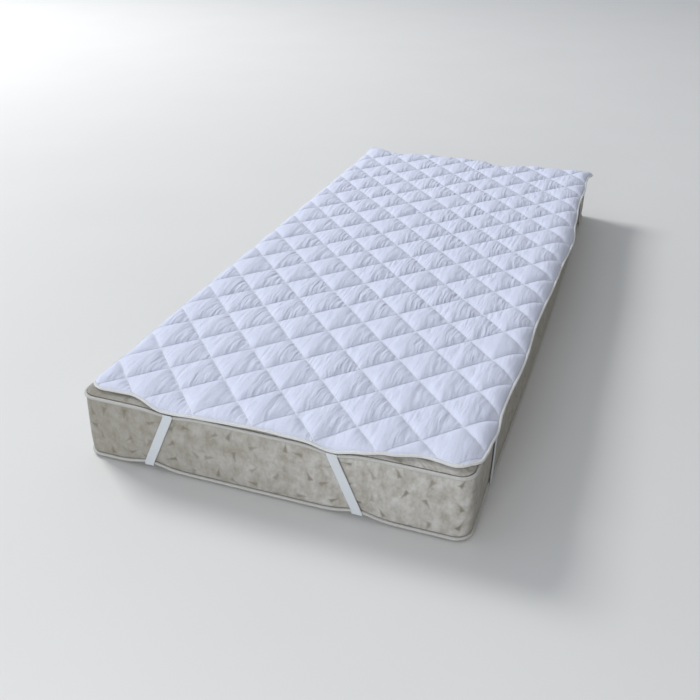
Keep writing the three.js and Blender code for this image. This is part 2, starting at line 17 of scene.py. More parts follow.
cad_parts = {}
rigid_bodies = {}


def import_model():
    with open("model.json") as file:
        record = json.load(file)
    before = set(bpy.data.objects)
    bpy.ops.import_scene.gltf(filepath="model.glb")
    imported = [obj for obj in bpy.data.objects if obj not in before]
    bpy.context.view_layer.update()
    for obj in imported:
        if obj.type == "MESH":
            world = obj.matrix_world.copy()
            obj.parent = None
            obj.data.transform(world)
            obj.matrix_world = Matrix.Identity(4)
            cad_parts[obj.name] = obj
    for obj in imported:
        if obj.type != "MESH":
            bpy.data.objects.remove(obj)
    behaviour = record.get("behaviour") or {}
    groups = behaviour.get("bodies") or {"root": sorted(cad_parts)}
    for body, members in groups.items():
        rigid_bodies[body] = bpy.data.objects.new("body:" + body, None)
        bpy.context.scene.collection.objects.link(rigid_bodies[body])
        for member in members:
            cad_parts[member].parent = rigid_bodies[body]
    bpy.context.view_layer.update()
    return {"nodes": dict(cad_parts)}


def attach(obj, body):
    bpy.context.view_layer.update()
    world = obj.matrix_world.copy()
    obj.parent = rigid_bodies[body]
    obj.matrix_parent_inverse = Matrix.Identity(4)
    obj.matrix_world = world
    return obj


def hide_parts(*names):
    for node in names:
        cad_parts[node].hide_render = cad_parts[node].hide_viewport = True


for item in list(bpy.data.objects):
    bpy.data.objects.remove(item)
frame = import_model()
print("solids in the frame:", len(frame["nodes"]))

# %% [markdown]
# The camera
#
# The picture was taken by someone standing at the foot, a little to the right, looking down at
# about thirty degrees. Where the seams of the quilting cross tells the lens and the place: they
# form an even grid on a flat bed, so their spacing in the picture fixes all of it.

# %% Camera
CAMERA_PLACE = (0.661, -2.3246, 1.2055)
CAMERA_TURN_DEG = (60.32, -0.40, 19.69)
LENS_MM = 44.04

camera = bpy.data.objects.new("camera", bpy.data.cameras.new("camera"))
camera.data.lens = LENS_MM
camera.location = CAMERA_PLACE
camera.rotation_euler = [math.radians(angle) for angle in CAMERA_TURN_DEG]
bpy.context.scene.collection.objects.link(camera)
bpy.context.scene.camera = camera
print("camera height:", CAMERA_PLACE[2], "m, lens", LENS_MM, "mm")

# %% [markdown]
# Sizes
#
# These are the sizes of the solids, in metres, but for some corners that are sharper here. The
# mattress is 90 by 200 cm. The origin is the middle of its underside, -Y is the foot and +X the
# right side seen from the foot. They could be read off the frame's boxes, but a maker's own sizes
# say what each one is for.

# %% Sizes of the mattress and the pad
MATTRESS = {"width": 0.900, "length": 2.000, "corner": 0.034}
RIM_HEIGHT = 0.160
LOW_WELT_HEIGHT = 0.008
LOW_WELT_BULGE = 0.6
CROWN = 0.011
WELT_RADIUS = 0.004
END_BULGE = 0.003
SIDE_BULGE = 0.017
SIDE_BULGE_REACH = 0.800
SIDE_BULGE_FULLNESS = 0.8

SEAM_THICKNESS = 0.0046
PAD_REST = 0.0004
PAD_FOLLOWS = 0.9
PAD_CORNERS = {"foot": 0.045, "head": 0.018}
TAPE_WIDTH = 0.005
TAPE_GAP = 0.0003
HALF_DIAGONAL = np.array([0.0700, 0.0745])
CROSSING = np.array([-0.1667, -0.6980])
REACH_IN = 0.090
HALF = np.array([MATTRESS["width"] / 2, MATTRESS["length"] / 2])
print("diamond:", 2 * HALF_DIAGONAL, "m across and along")

# %% [markdown]
# The straps' pull
#
# Elastic pulls the pad's edge and the mattress's top rim down where a strap leaves them, and it
# lifts the mattress's bottom edge where it turns under. Each hollow is a soft bell, and these
# rows place them: x along the end and y along the side, at the top and at the bottom. A lattice
# could bend the finished meshes, but a sum of bells bends pad, welts and border by the same rule.
# The left side is drawn in a little towards the head as well, which one more short table gives.

# %% Straps
STRAPS = [
    {"name": "strap_foot_left", "end": -1, "side": -1, "end_top": -0.225, "end_low": -0.284,
     "side_top": -0.790, "side_low": -0.828, "end_dip": 0.006, "side_dip": 0.004, "spread": 0.045},
    {"name": "strap_foot_right", "end": -1, "side": 1, "end_top": 0.157, "end_low": 0.213,
     "side_top": -0.775, "side_low": -0.808, "end_dip": 0.010, "side_dip": 0.006, "spread": 0.042},
    {"name": "strap_head_left", "end": 1, "side": -1, "end_top": -0.292, "end_low": -0.345,
     "side_top": 0.800, "side_low": 0.840, "end_dip": 0.014, "side_dip": 0.004, "spread": 0.048},
    {"name": "strap_head_right", "end": 1, "side": 1, "end_top": 0.130, "end_low": 0.190,
     "side_top": 0.800, "side_low": 0.845, "end_dip": 0.020, "side_dip": 0.004, "spread": 0.060},
]
STRAP_LIFT = 0.012
print("deepest hollow:", max(strap["end_dip"] for strap in STRAPS), "m")

# %% Hollows and the drawn-in side
LEFT_IN = [(-1.0, 0.0), (-0.45, 0.007), (0.2, 0.016), (1.0, 0.024)]


def bell(distance, spread):
    return np.exp(-(distance / spread) ** 2)


def fade_in(inset):
    """1 at the mattress's edge and beyond it, 0 from REACH_IN inwards."""
    return np.cos(np.clip(inset / REACH_IN, 0, 1) * np.pi / 2) ** 2


def insets(x, y):
    """Distances in from the mattress's end and from its side."""
    return HALF[1] - np.abs(y), HALF[0] - np.abs(x)


def left_in(y):
    """How far the mattress's left side stands in, from nothing at the foot."""
    return np.interp(y, *np.array(LEFT_IN).T)


def narrowed(points):
    """Moves points on the left with the side, so that the border and its straps stay together."""
    points = np.array(points, dtype=float)
    share = np.clip(-points[..., 0] / HALF[0], 0, 1) ** 2
    points[..., 0] += share * left_in(points[..., 1])
    return points


def strap_sum(x, y, end_inset, side_inset, level, end_depth, side_depth):
    """Sum of the straps' bells at a level, top or low."""
    total = np.zeros(np.broadcast(x, y).shape)
    for strap in STRAPS:
        at_end = (np.sign(y) == strap["end"]) * end_depth(strap) * fade_in(end_inset)
        at_side = (np.sign(x) == strap["side"]) * side_depth(strap) * fade_in(side_inset)
        total += at_end * bell(x - strap["end_" + level], strap["spread"])
        total += at_side * bell(y - strap["side_" + level], strap["spread"])
    return total


def top_pull(x, y, end_inset, side_inset):
    """How far the straps pull the top rim down."""
    return strap_sum(x, y, end_inset, side_inset, "top",
                     lambda strap: strap["end_dip"], lambda strap: strap["side_dip"])


def low_lift(x, y, end_inset, side_inset):
    """How far the straps lift the bottom edge."""
    return strap_sum(x, y, end_inset, side_inset, "low",
                     lambda strap: STRAP_LIFT, lambda strap: STRAP_LIFT)


print("left side at the head stands in by", float(left_in(HALF[1])), "m")

# %% [markdown]
# The pad's outline and the way it lies
#
# A pad is never quite straight. It sticks out at the straps and draws back between them, and on
# the right side it hangs over the mattress's edge. Four short tables give how far out the edge
# reaches at places along each side, and one more gives how the pad bends down over the rim. The
# two corners at the head are sharper and stand up a little, like small ears. Dropping a sheet on
# the mattress by simulation would find such a shape too, but never this pad's own one.

# %% Edges of the pad
FOOT_EDGE = [(-0.450, 0.984), (-0.335, 0.980), (-0.240, 1.004), (-0.170, 1.005), (0.000, 1.000),
             (0.080, 1.002), (0.157, 1.006), (0.215, 1.002), (0.270, 0.992), (0.345, 0.978),
             (0.408, 0.985), (0.470, 0.979)]
HEAD_EDGE = [(-0.450, 0.998), (-0.350, 1.000), (-0.292, 1.005), (-0.230, 1.000), (-0.060, 0.999),
             (0.040, 1.001), (0.130, 1.006), (0.210, 1.001), (0.350, 1.000), (0.470, 1.003)]
RIGHT_EDGE = [(-1.000, 0.452), (-0.880, 0.462), (-0.827, 0.466), (-0.750, 0.461), (-0.490, 0.470),
              (-0.330, 0.466), (0.040, 0.476), (0.320, 0.485), (0.464, 0.473), (0.668, 0.463),
              (0.820, 0.465), (0.900, 0.460), (0.940, 0.461), (0.985, 0.474), (1.000, 0.475)]
LEFT_EDGE = [(-1.000, 0.447), (-0.450, 0.446), (0.200, 0.438), (1.000, 0.430)]


def eased(table, place):
    """Second column at a place in the first one, eased between the rows."""
    at, value = np.array(table).T
    row = np.clip(np.searchsorted(at, place, side="right"), 1, len(at) - 1)
    share = np.clip((place - at[row - 1]) / (at[row] - at[row - 1]), 0, 1)
    return value[row - 1] + (value[row] - value[row - 1]) * share * share * (3 - 2 * share)


print("foot edge at the middle:", float(eased(FOOT_EDGE, 0.0)), "m out")

# %% The way the pad lies over the rim
COVER = [(-0.040, -0.013), (-0.028, -0.006), (-0.018, -0.0005), (-0.010, 0.0036), (-0.004, 0.006),
         (0.000, 0.0072), (0.006, 0.0092), (0.012, 0.0112), (0.022, 0.0129), (0.040, 0.0127),
         (0.075, 0.0118), (REACH_IN, CROWN + PAD_REST)]
EARS = [{"x": -0.430, "y": 1.000, "spread": 0.050, "lift": 0.010},
        {"x": 0.478, "y": 1.000, "spread": 0.055, "lift": 0.009}]
CORNER_SOFTNESS = 0.010


def smoothed(table, step=0.001, blur=0.006):
    """The same table at even small steps, with its corners blurred away."""
    at, value = np.array(table).T
    places = np.arange(at[0], at[-1] + step, step)
    kernel = bell(np.arange(-2 * blur, 2 * blur + step, step), blur)
    margin = len(kernel) // 2
    padded = np.pad(np.interp(places, at, value), margin, mode="edge")
    blurred = np.convolve(padded, kernel / kernel.sum(), mode="same")
    return places, blurred[margin:][:len(places)]


COVER_PLACES, COVER_RISES = smoothed(COVER)


def underside(x, y):
    """Height of the pad's back cloth."""
    end, side = insets(x, y)
    side = side - np.clip(-x / HALF[0], 0, 1) ** 2 * left_in(y)
    nearest = -CORNER_SOFTNESS * np.logaddexp(-end / CORNER_SOFTNESS, -side / CORNER_SOFTNESS)
    rise = np.interp(nearest, COVER_PLACES, COVER_RISES)
    for ear in EARS:
        rise = rise + ear["lift"] * bell(np.hypot(x - ear["x"], y - ear["y"]), ear["spread"])
    return RIM_HEIGHT + rise - PAD_FOLLOWS * top_pull(x, y, end, side)


print("pad's back at the middle:", round(float(underside(0.0, 0.0)), 4), "m up")

# %% [markdown]
# Creases from one simulated block
#
# The top cloth of a quilted pad is fed in a little fuller than its back, so between the seams it
# buckles into small creases, most of them along the bed. They could be drawn by hand, but then
# they look drawn. Blender's cloth makes them as the sewing machine does: a flat block is cut too
# wide, its seams are pinned and drawn together, and air pressure takes the place of the wadding.
# Nine diamonds are enough for the whole pad, because each can be mirrored along and across. The
# block's grid runs along the seams, so that they stay sharp.

# %% Helpers that make a mesh from points
def new_piece(name, points, faces):
    mesh = bpy.data.meshes.new(name)
    mesh.from_pydata(np.asarray(points).reshape(-1, 3).tolist(), [], faces)
    mesh.update()
    piece = bpy.data.objects.new(name, mesh)
    bpy.context.scene.collection.objects.link(piece)
    return piece


def grid_corners(columns, rows):
    """First corner of each cell of a grid whose points are stored column by column."""
    return (np.arange(columns - 1)[:, None] * rows + np.arange(rows - 1)).ravel()


print("first corners of the cells of a 3 by 3 grid:", grid_corners(3, 3))

# %% The flat block, cut too wide
BLOCK = 3
CELLS = 32
CUT = (1.060, 1.015, 1.0)
FIRST_BUCKLE = 0.0006
BUCKLE_SCALE = (60, 22, 3.1)


def block_points():
    """Flat points of the block, counted along its two seam directions."""
    along = np.arange(BLOCK * CELLS + 1) / CELLS
    p, q = np.meshgrid(along, along, indexing="ij")
    return HALF_DIAGONAL[0] * (p + q), HALF_DIAGONAL[1] * (p - q)


def first_buckle(x, y):
    """A faint uneven rise that lets the cloth buckle in a different way in each diamond."""
    spots = zip(x.ravel() * BUCKLE_SCALE[0], y.ravel() * BUCKLE_SCALE[1])
    bumps = [1 + noise.noise(Vector((a, b, BUCKLE_SCALE[2]))) for a, b in spots]
    return FIRST_BUCKLE * np.array(bumps).reshape(x.shape)


print("block:", block_points()[0].shape, "points")

# %% Simulate the block
AIR_PRESSURE = 8.0
POINT_MASS = 0.001
STIFFNESS = 40.0
BENDING = 0.3
DRAWN_BY = 10
FRAMES = 20


def simulated_block():
    """How far each point of the sewn block moves when it is filled."""
    x, y = block_points()
    side = len(x)
    on_seam = np.arange(side) % CELLS == 0
    seam = on_seam[:, None] | on_seam[None, :]
    sewn = np.stack([x, y, np.where(seam, 0, first_buckle(x, y))], axis=-1).reshape(-1, 3)
    corner = grid_corners(side, side)
    faces = np.stack([corner, corner + 1, corner + side + 1, corner + side], axis=1).tolist()
    block = new_piece("block", sewn * CUT, faces)
    block.shape_key_add(name="cut")
    drawn = block.shape_key_add(name="sewn")
    drawn.data.foreach_set("co", sewn.ravel())
    for value, moment in ((0, 1), (1, DRAWN_BY)):
        drawn.value = value
        drawn.keyframe_insert("value", frame=moment)
    pins = block.vertex_groups.new(name="seams")
    pins.add(np.flatnonzero(seam.ravel()).tolist(), 1.0, "REPLACE")
    cloth = block.modifiers.new("cloth", "CLOTH").settings
    cloth.vertex_group_mass = "seams"
    cloth.use_pressure = True
    cloth.uniform_pressure_force = AIR_PRESSURE
    cloth.mass = POINT_MASS
    cloth.tension_stiffness = STIFFNESS
    cloth.compression_stiffness = STIFFNESS
    cloth.bending_stiffness = BENDING
    cloth.effector_weights.gravity = 0
    for moment in range(1, FRAMES + 1):
        bpy.context.scene.frame_set(moment)
    moved = block.evaluated_get(bpy.context.evaluated_depsgraph_get())
    filled = np.array([point.co for point in moved.data.vertices])
    bpy.data.objects.remove(block)
    bpy.context.scene.frame_set(1)
    return (filled - sewn * (1, 1, 0)).reshape(side, side, 3)


print("the cloth takes", FRAMES, "frames, and its seams are drawn by frame", DRAWN_BY)

# %% Creases of the block
def softened(shift):
    """The block's creases with the zigzag of single cells blurred out, seams kept."""
    smooth = shift.copy()
    smooth[1:-1, 1:-1] = (4 * shift[1:-1, 1:-1] + 2 * (shift[2:, 1:-1] + shift[:-2, 1:-1])
                          + 2 * (shift[1:-1, 2:] + shift[1:-1, :-2]) + shift[2:, 2:]
                          + shift[:-2, :-2] + shift[2:, :-2] + shift[:-2, 2:]) / 16
    smooth[::CELLS] = 0
    smooth[:, ::CELLS] = 0
    return smooth


block_shift = softened(simulated_block())
print("the block rises", round(float(block_shift[..., 2].max()), 4), "m above its seams")

# %% [markdown]
# The grid of the quilted panel
#
# On the real pad two cotton cloths and the wadding are stitched through in one pass, then the
# panel is cut out. It could be a plane with its seams cut in, but one fine grid is easier to
# shape. Its lines follow the crossings, so a seam never cuts a cell, and the outermost cells are
# stretched to the wavy edge.

# %% Grid of the pad, seen from above
STEPS = 16
STEP = HALF_DIAGONAL / STEPS
INNER_COLUMNS = (-56, 136)
INNER_ROWS = (-56, 360)
EDGE_CELLS = {"left": 6, "right": 8, "foot": 7, "head": 4}
EDGE_ROUNDS = 3                    # x and y of the edge depend on each other
TINY = 1e-9
TAPE_INSET = TAPE_WIDTH + TAPE_GAP


def line_weights(axis, lines, low_cells, high_cells):
    """Shares of the low edge, of the high edge and a fixed part that place each grid line."""
    inner = CROSSING[axis] + STEP[axis] * np.arange(lines[0], lines[1] + 1)
    low = np.arange(low_cells) / low_cells
    high = np.arange(1, high_cells + 1) / high_cells
    of_low = np.concatenate([1 - low, 0 * inner, 0 * high])
    of_high = np.concatenate([0 * low, 0 * inner, high])
    fixed = np.concatenate([inner[0] * low, inner, inner[-1] * (1 - high)])
    return of_low, of_high, fixed


def flat_grid():
    """x and y of the grid's points, and their distance from the pad's edge."""
    low, high, fixed = line_weights(0, INNER_COLUMNS, EDGE_CELLS["left"], EDGE_CELLS["right"])
    down, up, level = line_weights(1, INNER_ROWS, EDGE_CELLS["foot"], EDGE_CELLS["head"])
    x = np.repeat(fixed[:, None], len(level), axis=1)
    y = np.repeat(level[None, :], len(fixed), axis=0)
    for _ in range(EDGE_ROUNDS):
        left = TAPE_INSET - eased(LEFT_EDGE, y)
        right = eased(RIGHT_EDGE, y) - TAPE_INSET
        x = low[:, None] * left + high[:, None] * right + fixed[:, None]
        foot = TAPE_INSET - eased(FOOT_EDGE, x)
        head = eased(HEAD_EDGE, x) - TAPE_INSET
        y = down[None, :] * foot + up[None, :] * head + level[None, :]
    corner = np.where(y > 0, PAD_CORNERS["head"], PAD_CORNERS["foot"])
    over = corner - np.stack([np.minimum(x - left, right - x), np.minimum(y - foot, head - y)])
    past = np.maximum(over, 0)
    share = past.max(axis=0) / np.maximum(np.hypot(*past), TINY)
    round_off = np.where((past[0] > 0) & (past[1] > 0), past * (1 - share), 0)
    return x - np.sign(x) * round_off[0], y - np.sign(y) * round_off[1], corner - over.max(axis=0)


pad_x, pad_y, edge_distance = flat_grid()
print("grid of the pad:", pad_x.shape, "points")

# %% [markdown]
# Puffs and creases
#
# The wadding lifts the cloth into a puff between its seams: steep at the stitches, then rounded,
# with a long ridge that runs along the bed. A puff from the simulation alone came out too soft at
# its seams, so the smooth form is a short formula, and the block's creases are laid over it. Each
# diamond takes them from its own place in the block, mirrored at random, less the average of all.
# Near the pad's sides, where it hangs, they are pulled smoother.

# %% One diamond of the block
def block_at(p, q):
    """The block's shift at a place counted in diamonds, between its points."""
    u, v = p * CELLS, q * CELLS
    i = np.clip(u.astype(int), 0, BLOCK * CELLS - 1)
    j = np.clip(v.astype(int), 0, BLOCK * CELLS - 1)
    s, t = (u - i)[..., None], (v - j)[..., None]
    near = block_shift[i, j] * (1 - s) + block_shift[i + 1, j] * s
    far = block_shift[i, j + 1] * (1 - s) + block_shift[i + 1, j + 1] * s
    return near * (1 - t) + far * t


def mirrored_diamond(fp, fq, column, row, flip_x, flip_y):
    """Shift of one of the block's diamonds, mirrored left to right or end to end."""
    p = np.where(flip_y, fq, fp)
    q = np.where(flip_y, fp, fq)
    p, q = np.where(flip_x, 1 - q, p), np.where(flip_x, 1 - p, q)
    shift = block_at(column + p, row + q)
    signs = np.broadcast_arrays(np.where(flip_x, -1, 1), np.where(flip_y, -1, 1), np.ones(p.shape))
    return shift * np.stack(signs, axis=-1)


middle = np.array([0.5])
print("the first diamond's middle moves:", mirrored_diamond(middle, middle, 0, 0, False, False).round(4))

# %% A smooth puff
PUFF_BODY = 0.0047
PUFF_RIDGE = 0.0054
SEAM_ROUNDING = 0.11


def full_puff(fp, fq):
    """Height of a smooth puff: steep at the seams, with a long ridge along the bed."""
    sides = np.stack([fp, 1 - fp, fq, 1 - fq])
    rise = np.prod(1 - np.exp(-sides / SEAM_ROUNDING), axis=0)
    return rise * (PUFF_BODY + PUFF_RIDGE * (1 - np.abs(fp + fq - 1)))


print("a puff's middle rises", round(float(full_puff(0.5, 0.5)), 4), "m")

# %% Puffs of the whole pad
SEED = 11
PUFF_RANGE = (0.92, 1.08)
CREASE_SHARE = (0.35, 0.75)        # at a diamond's left corner and at its right one
CALM_WIDTH = 0.110
CALM_START = 0.015
LEAST_CREASE = 0.30
EDGE_RISE = 0.045
EDGE_FULLNESS = 0.65


def average_diamond(fp, fq):
    """Mean shift of all the block's diamonds, plain and mirrored."""
    mean = np.zeros((*fp.shape, 3))
    for column in range(BLOCK):
        for row in range(BLOCK):
            for mirror in (False, True):
                mean += mirrored_diamond(fp, fq, column, row, mirror, False) / (2 * BLOCK ** 2)
    return mean


def puffs(x, y, from_edge):
    """How far each point of the top cloth stands off its seams' level, as x, y and height."""
    m = (x - CROSSING[0]) / HALF_DIAGONAL[0]
    n = (y - CROSSING[1]) / HALF_DIAGONAL[1]
    p, q = (m + n) / 2, (m - n) / 2
    ip, iq = np.floor(p + TINY).astype(int), np.floor(q + TINY).astype(int)
    fp, fq = np.clip(p - ip, 0, 1), np.clip(q - iq, 0, 1)
    shape = (np.ptp(ip) + 1, np.ptp(iq) + 1)
    pick = (ip - ip.min(), iq - iq.min())
    chance = np.random.default_rng(SEED)
    column, row = (chance.integers(0, BLOCK, shape)[pick] for _ in range(2))
    flip_x, flip_y = (chance.random(shape)[pick] < 0.5 for _ in range(2))
    height = chance.uniform(*PUFF_RANGE, shape)[pick]
    own = mirrored_diamond(fp, fq, column, row, flip_x, flip_y)
    from_side = np.clip((HALF[0] - np.abs(x) - CALM_START) / CALM_WIDTH, 0, 1)
    crease = LEAST_CREASE + (1 - LEAST_CREASE) * from_side * from_side * (3 - 2 * from_side)
    crease = crease * np.interp(fp + fq, (0, 2), CREASE_SHARE)
    rise = np.sin(np.pi / 2 * np.clip(from_edge / EDGE_RISE, 0, 1)) ** EDGE_FULLNESS
    shift = (own - average_diamond(fp, fq)) * crease[..., None]
    shift[..., 2] += full_puff(fp, fq) * height
    return shift * rise[..., None]


puff_shift = puffs(pad_x, pad_y, edge_distance)
print("highest puff:", round(float(puff_shift[..., 2].max()), 4), "m")

# %% [markdown]
# The top cloth
#
# The pad bends down over the mattress's rim. Puffs that only rose straight up would be sheared
# there, so each one stands square to the slope below it. A displace modifier moves points along
# one way alone, and these also shift sideways with their creases, so the points are placed here.

# %% Top of the pad
SLOPE_STEP = 0.002


def pad_top():
    """Points of the top cloth, shifted square to the way that the pad lies."""
    east = underside(pad_x + SLOPE_STEP, pad_y) - underside(pad_x - SLOPE_STEP, pad_y)
    north = underside(pad_x, pad_y + SLOPE_STEP) - underside(pad_x, pad_y - SLOPE_STEP)
    normal = np.stack([-east, -north, np.full(pad_x.shape, 2 * SLOPE_STEP)], axis=-1)
    normal /= np.linalg.norm(normal, axis=-1, keepdims=True)
    points = np.stack([pad_x, pad_y, underside(pad_x, pad_y) + SEAM_THICKNESS], axis=-1)
    points += normal * puff_shift[..., 2:]
    points[..., :2] += puff_shift[..., :2]
    return points


top_points = pad_top()
print("highest point of the pad:", round(float(top_points[..., 2].max()), 4), "m")

# %% Cells of the grid, and its rim
def pad_faces(columns, rows):
    """Cells of the grid. A cell on a seam is split along that seam."""
    corner = grid_corners(columns, rows)
    a, b, c, d = corner, corner + rows, corner + rows + 1, corner + 1
    m = corner // rows - EDGE_CELLS["left"] + INNER_COLUMNS[0]
    n = corner % rows - EDGE_CELLS["foot"] + INNER_ROWS[0]
    rising = (m - n) % (2 * STEPS) == 0
    falling = (m + n + 1) % (2 * STEPS) == 0
    plain = ~(rising | falling)
    faces = []
    for corners, chosen in (((a, b, c, d), plain), ((a, b, c), rising), ((a, c, d), rising),
                            ((a, b, d), falling), ((b, c, d), falling)):
        faces += np.stack(corners, axis=1)[chosen].tolist()
    return faces


def rim_of(columns, rows):
    """Numbers of the grid's outermost points, counterclockwise from the foot's left corner."""
    foot = np.arange(columns - 1) * rows
    right = (columns - 1) * rows + np.arange(rows - 1)
    head = np.arange(columns - 1, 0, -1) * rows + rows - 1
    left = np.arange(rows - 1, 0, -1)
    return np.concatenate([foot, right, head, left])


print("points on the pad's rim:", len(rim_of(*pad_x.shape)))

# %% [markdown]
# The back cloth and the whole panel
#
# The back of a pad is a second, plain cloth that nobody sees, but the panel is one closed body
# with a true thickness at its edge. A solidify modifier would copy every puff to the back, so a
# few rings of points are drawn in from the rim instead, and one large face closes the middle.

# %% Back of the pad, and the whole panel
BACK_INSETS = (0.0, 0.008, 0.025, 0.050, 0.095)


def ring_bands(first, second, count):
    """Quads between two rings of points, given the numbers of their first points."""
    here = np.arange(count)
    following = (here + 1) % count
    return np.stack([first + here, second + here, second + following, first + following], axis=1).tolist()


def make_pad():
    rim = rim_of(*pad_x.shape)
    count = len(rim)
    rim_x, rim_y = pad_x.ravel()[rim], pad_y.ravel()[rim]
    points = [top_points.reshape(-1, 3)]
    faces = pad_faces(*pad_x.shape)
    start = pad_x.size
    band = ring_bands(0, start, count)
    faces += [[rim[a], b, c, rim[d]] for a, b, c, d in band]
    for inset in BACK_INSETS:
        x, y = rim_x * (1 - inset / HALF[0]), rim_y * (1 - inset / HALF[1])
        points.append(np.stack([x, y, underside(x, y)], axis=1))
    for ring in range(len(BACK_INSETS) - 1):
        faces += ring_bands(start + ring * count, start + (ring + 1) * count, count)
    last = start + (len(BACK_INSETS) - 1) * count
    faces.append((last + np.arange(count))[::-1].tolist())
    pad = new_piece("quilted_pad", np.concatenate(points), faces)
    pad.data.shade_smooth()
    return pad


pad = make_pad()
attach(pad, "root")
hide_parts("pad")
print("pad:", len(pad.data.polygons), "faces")

# %% [markdown]
# The binding
#
# A narrow tape is folded over the cut edge and stitched through, which squeezes the wadding flat.
# A curve with a bevel would make a round cord, so the tape's own folded section is carried along
# the pad's rim instead, with small uneven waves where the stitches gather it.

# %% The pad's rim and the tape's section
TAPE_LAP = 0.0024
TAPE_THICKNESS = 0.0006
TAPE_SWELL = 0.00065
TAPE_TUCK = 0.0003                 # the tape's two edges lie this much closer to the cloth
TAPE_TURN = {"share": 0.55, "points": 9}
RIM_SMOOTHINGS = 4


def round_lengths(points):
    """Distance at each point of a closed row of points, and at the first one again."""
    steps = np.linalg.norm(np.roll(points, -1, axis=0) - points, axis=1)
    return np.concatenate([[0], np.cumsum(steps)])


def rim_frame():
    """Points of the pad's edge and the way out at each."""
    rim = rim_of(*pad_x.shape)
    points = np.stack([pad_x.ravel()[rim], pad_y.ravel()[rim]], axis=1)
    along = np.roll(points, -1, axis=0) - np.roll(points, 1, axis=0)
    for _ in range(RIM_SMOOTHINGS):
        along = (np.roll(along, 1, axis=0) + 2 * along + np.roll(along, -1, axis=0)) / 4
    along /= np.linalg.norm(along, axis=1, keepdims=True)
    return points, np.stack([along[:, 1], -along[:, 0]], axis=1)


def folded_section():
    """The tape's fold, outside then inside: distance out from the pad's edge and height up."""
    middle = SEAM_THICKNESS / 2
    half = middle + TAPE_SWELL
    turn = np.linspace(np.pi / 2, -np.pi / 2, TAPE_TURN["points"])
    reach = TAPE_WIDTH * TAPE_TURN["share"]
    outer = [(-TAPE_LAP, middle + half - TAPE_TUCK), (0.0, middle + half)]
    outer += [(TAPE_WIDTH - reach + reach * math.cos(a), middle + half * math.sin(a)) for a in turn]
    outer += [(0.0, middle - half), (-TAPE_LAP, middle - half + TAPE_TUCK)]
    shrink = 1 - TAPE_THICKNESS / half
    inner = [(out - (TAPE_THICKNESS if out > 0 else 0), middle + (up - middle) * shrink) for out, up in outer]
    return np.array(outer + inner[::-1])


TAPE_CUT = float(round_lengths(folded_section())[-1]) / 2
print("the tape is cut", round(TAPE_CUT * 1000, 1), "mm wide")

# %% Bodies swept along a way
def uv_layer(piece, per_corner):
    """Gives the piece a cloth's own coordinates, in metres, for each face corner."""
    layer = piece.data.uv_layers.new(name="cloth")
    layer.data.foreach_set("uv", np.asarray(per_corner, dtype=np.float32).ravel())


def cloth_body(name, points, faces, corners):
    piece = new_piece(name, points, faces)
    uv_layer(piece, corners)
    piece.data.shade_smooth()
    return piece


def swept(name, rings, places, across):
    """A closed loop of sections, with coordinates along and across the cloth."""
    stations, sides = rings.shape[:2]
    faces, corners = [], []
    for s in range(stations):
        t = (s + 1) % stations
        for k in range(sides):
            n = (k + 1) % sides
            faces.append([s * sides + k, t * sides + k, t * sides + n, s * sides + n])
            corners += [(places[s], across[k]), (places[s + 1], across[k]),
                        (places[s + 1], across[k + 1]), (places[s], across[k + 1])]
    return cloth_body(name, rings, faces, corners)


def capped(name, rings, spots, end_spots):
    """A row of closed sections with a face over each end. Each section has one spot more than points."""
    count, sides = rings.shape[:2]
    faces, corners = [], []
    for s in range(count - 1):
        for k in range(sides):
            n = (k + 1) % sides
            faces.append([s * sides + k, s * sides + n, (s + 1) * sides + n, (s + 1) * sides + k])
            corners += [spots[s][k], spots[s][k + 1], spots[s + 1][k + 1], spots[s + 1][k]]
    for s, order, ends in ((0, -1, end_spots[0]), (count - 1, 1, end_spots[1])):
        faces.append((s * sides + np.arange(sides))[::order].tolist())
        corners += [tuple(spot) for spot in ends[::order]]
    return cloth_body(name, rings, faces, corners)


print("two kinds of body:", swept.__name__, "and", capped.__name__)

# %% Binding tape
TAPE_WAVE = {"share": 0.10, "scale": 40, "slice": 0.7}


def make_binding():
    points, out = rim_frame()
    section = folded_section()
    scale = TAPE_WAVE["scale"]
    wave = np.array([noise.noise(Vector((scale * x, scale * y, TAPE_WAVE["slice"]))) for x, y in points])
    reach = section[None, :, 0] * (1 + TAPE_WAVE["share"] * wave[:, None])
    height = underside(*points.T)[:, None] + section[None, :, 1]
    rings = np.stack([points[:, :1] + out[:, :1] * reach, points[:, 1:] + out[:, 1:] * reach, height],
                     axis=-1)
    places = round_lengths(points)
    return swept("binding_tape", rings, places, round_lengths(section)), places[-1]


binding, binding_length = make_binding()
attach(binding, "root")
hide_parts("binding")
print("tape:", round(TAPE_CUT * 1000), "mm wide,", round(binding_length, 2), "m long")

# %% [markdown]
# The mattress under the pad
#
# A mattress's border is a strip of ticking sewn round its fillings between two piped seams. It
# could be a box with bevels, but the straps scallop its edges and the springs press its sides out.
# So one section is carried round the outline. The first thing for that is a row of stations: even
# steps along the straight sides and finer ones round the corners.

# %% Stations round the mattress
STATION_GAP = 0.010
CORNER_STEPS = 14
LEAST_CORNER = 0.012


def straight_places(half, corner):
    count = int(round(2 * (half - corner) / STATION_GAP))
    return np.linspace(corner - half, half - corner, count + 1)[1:-1]


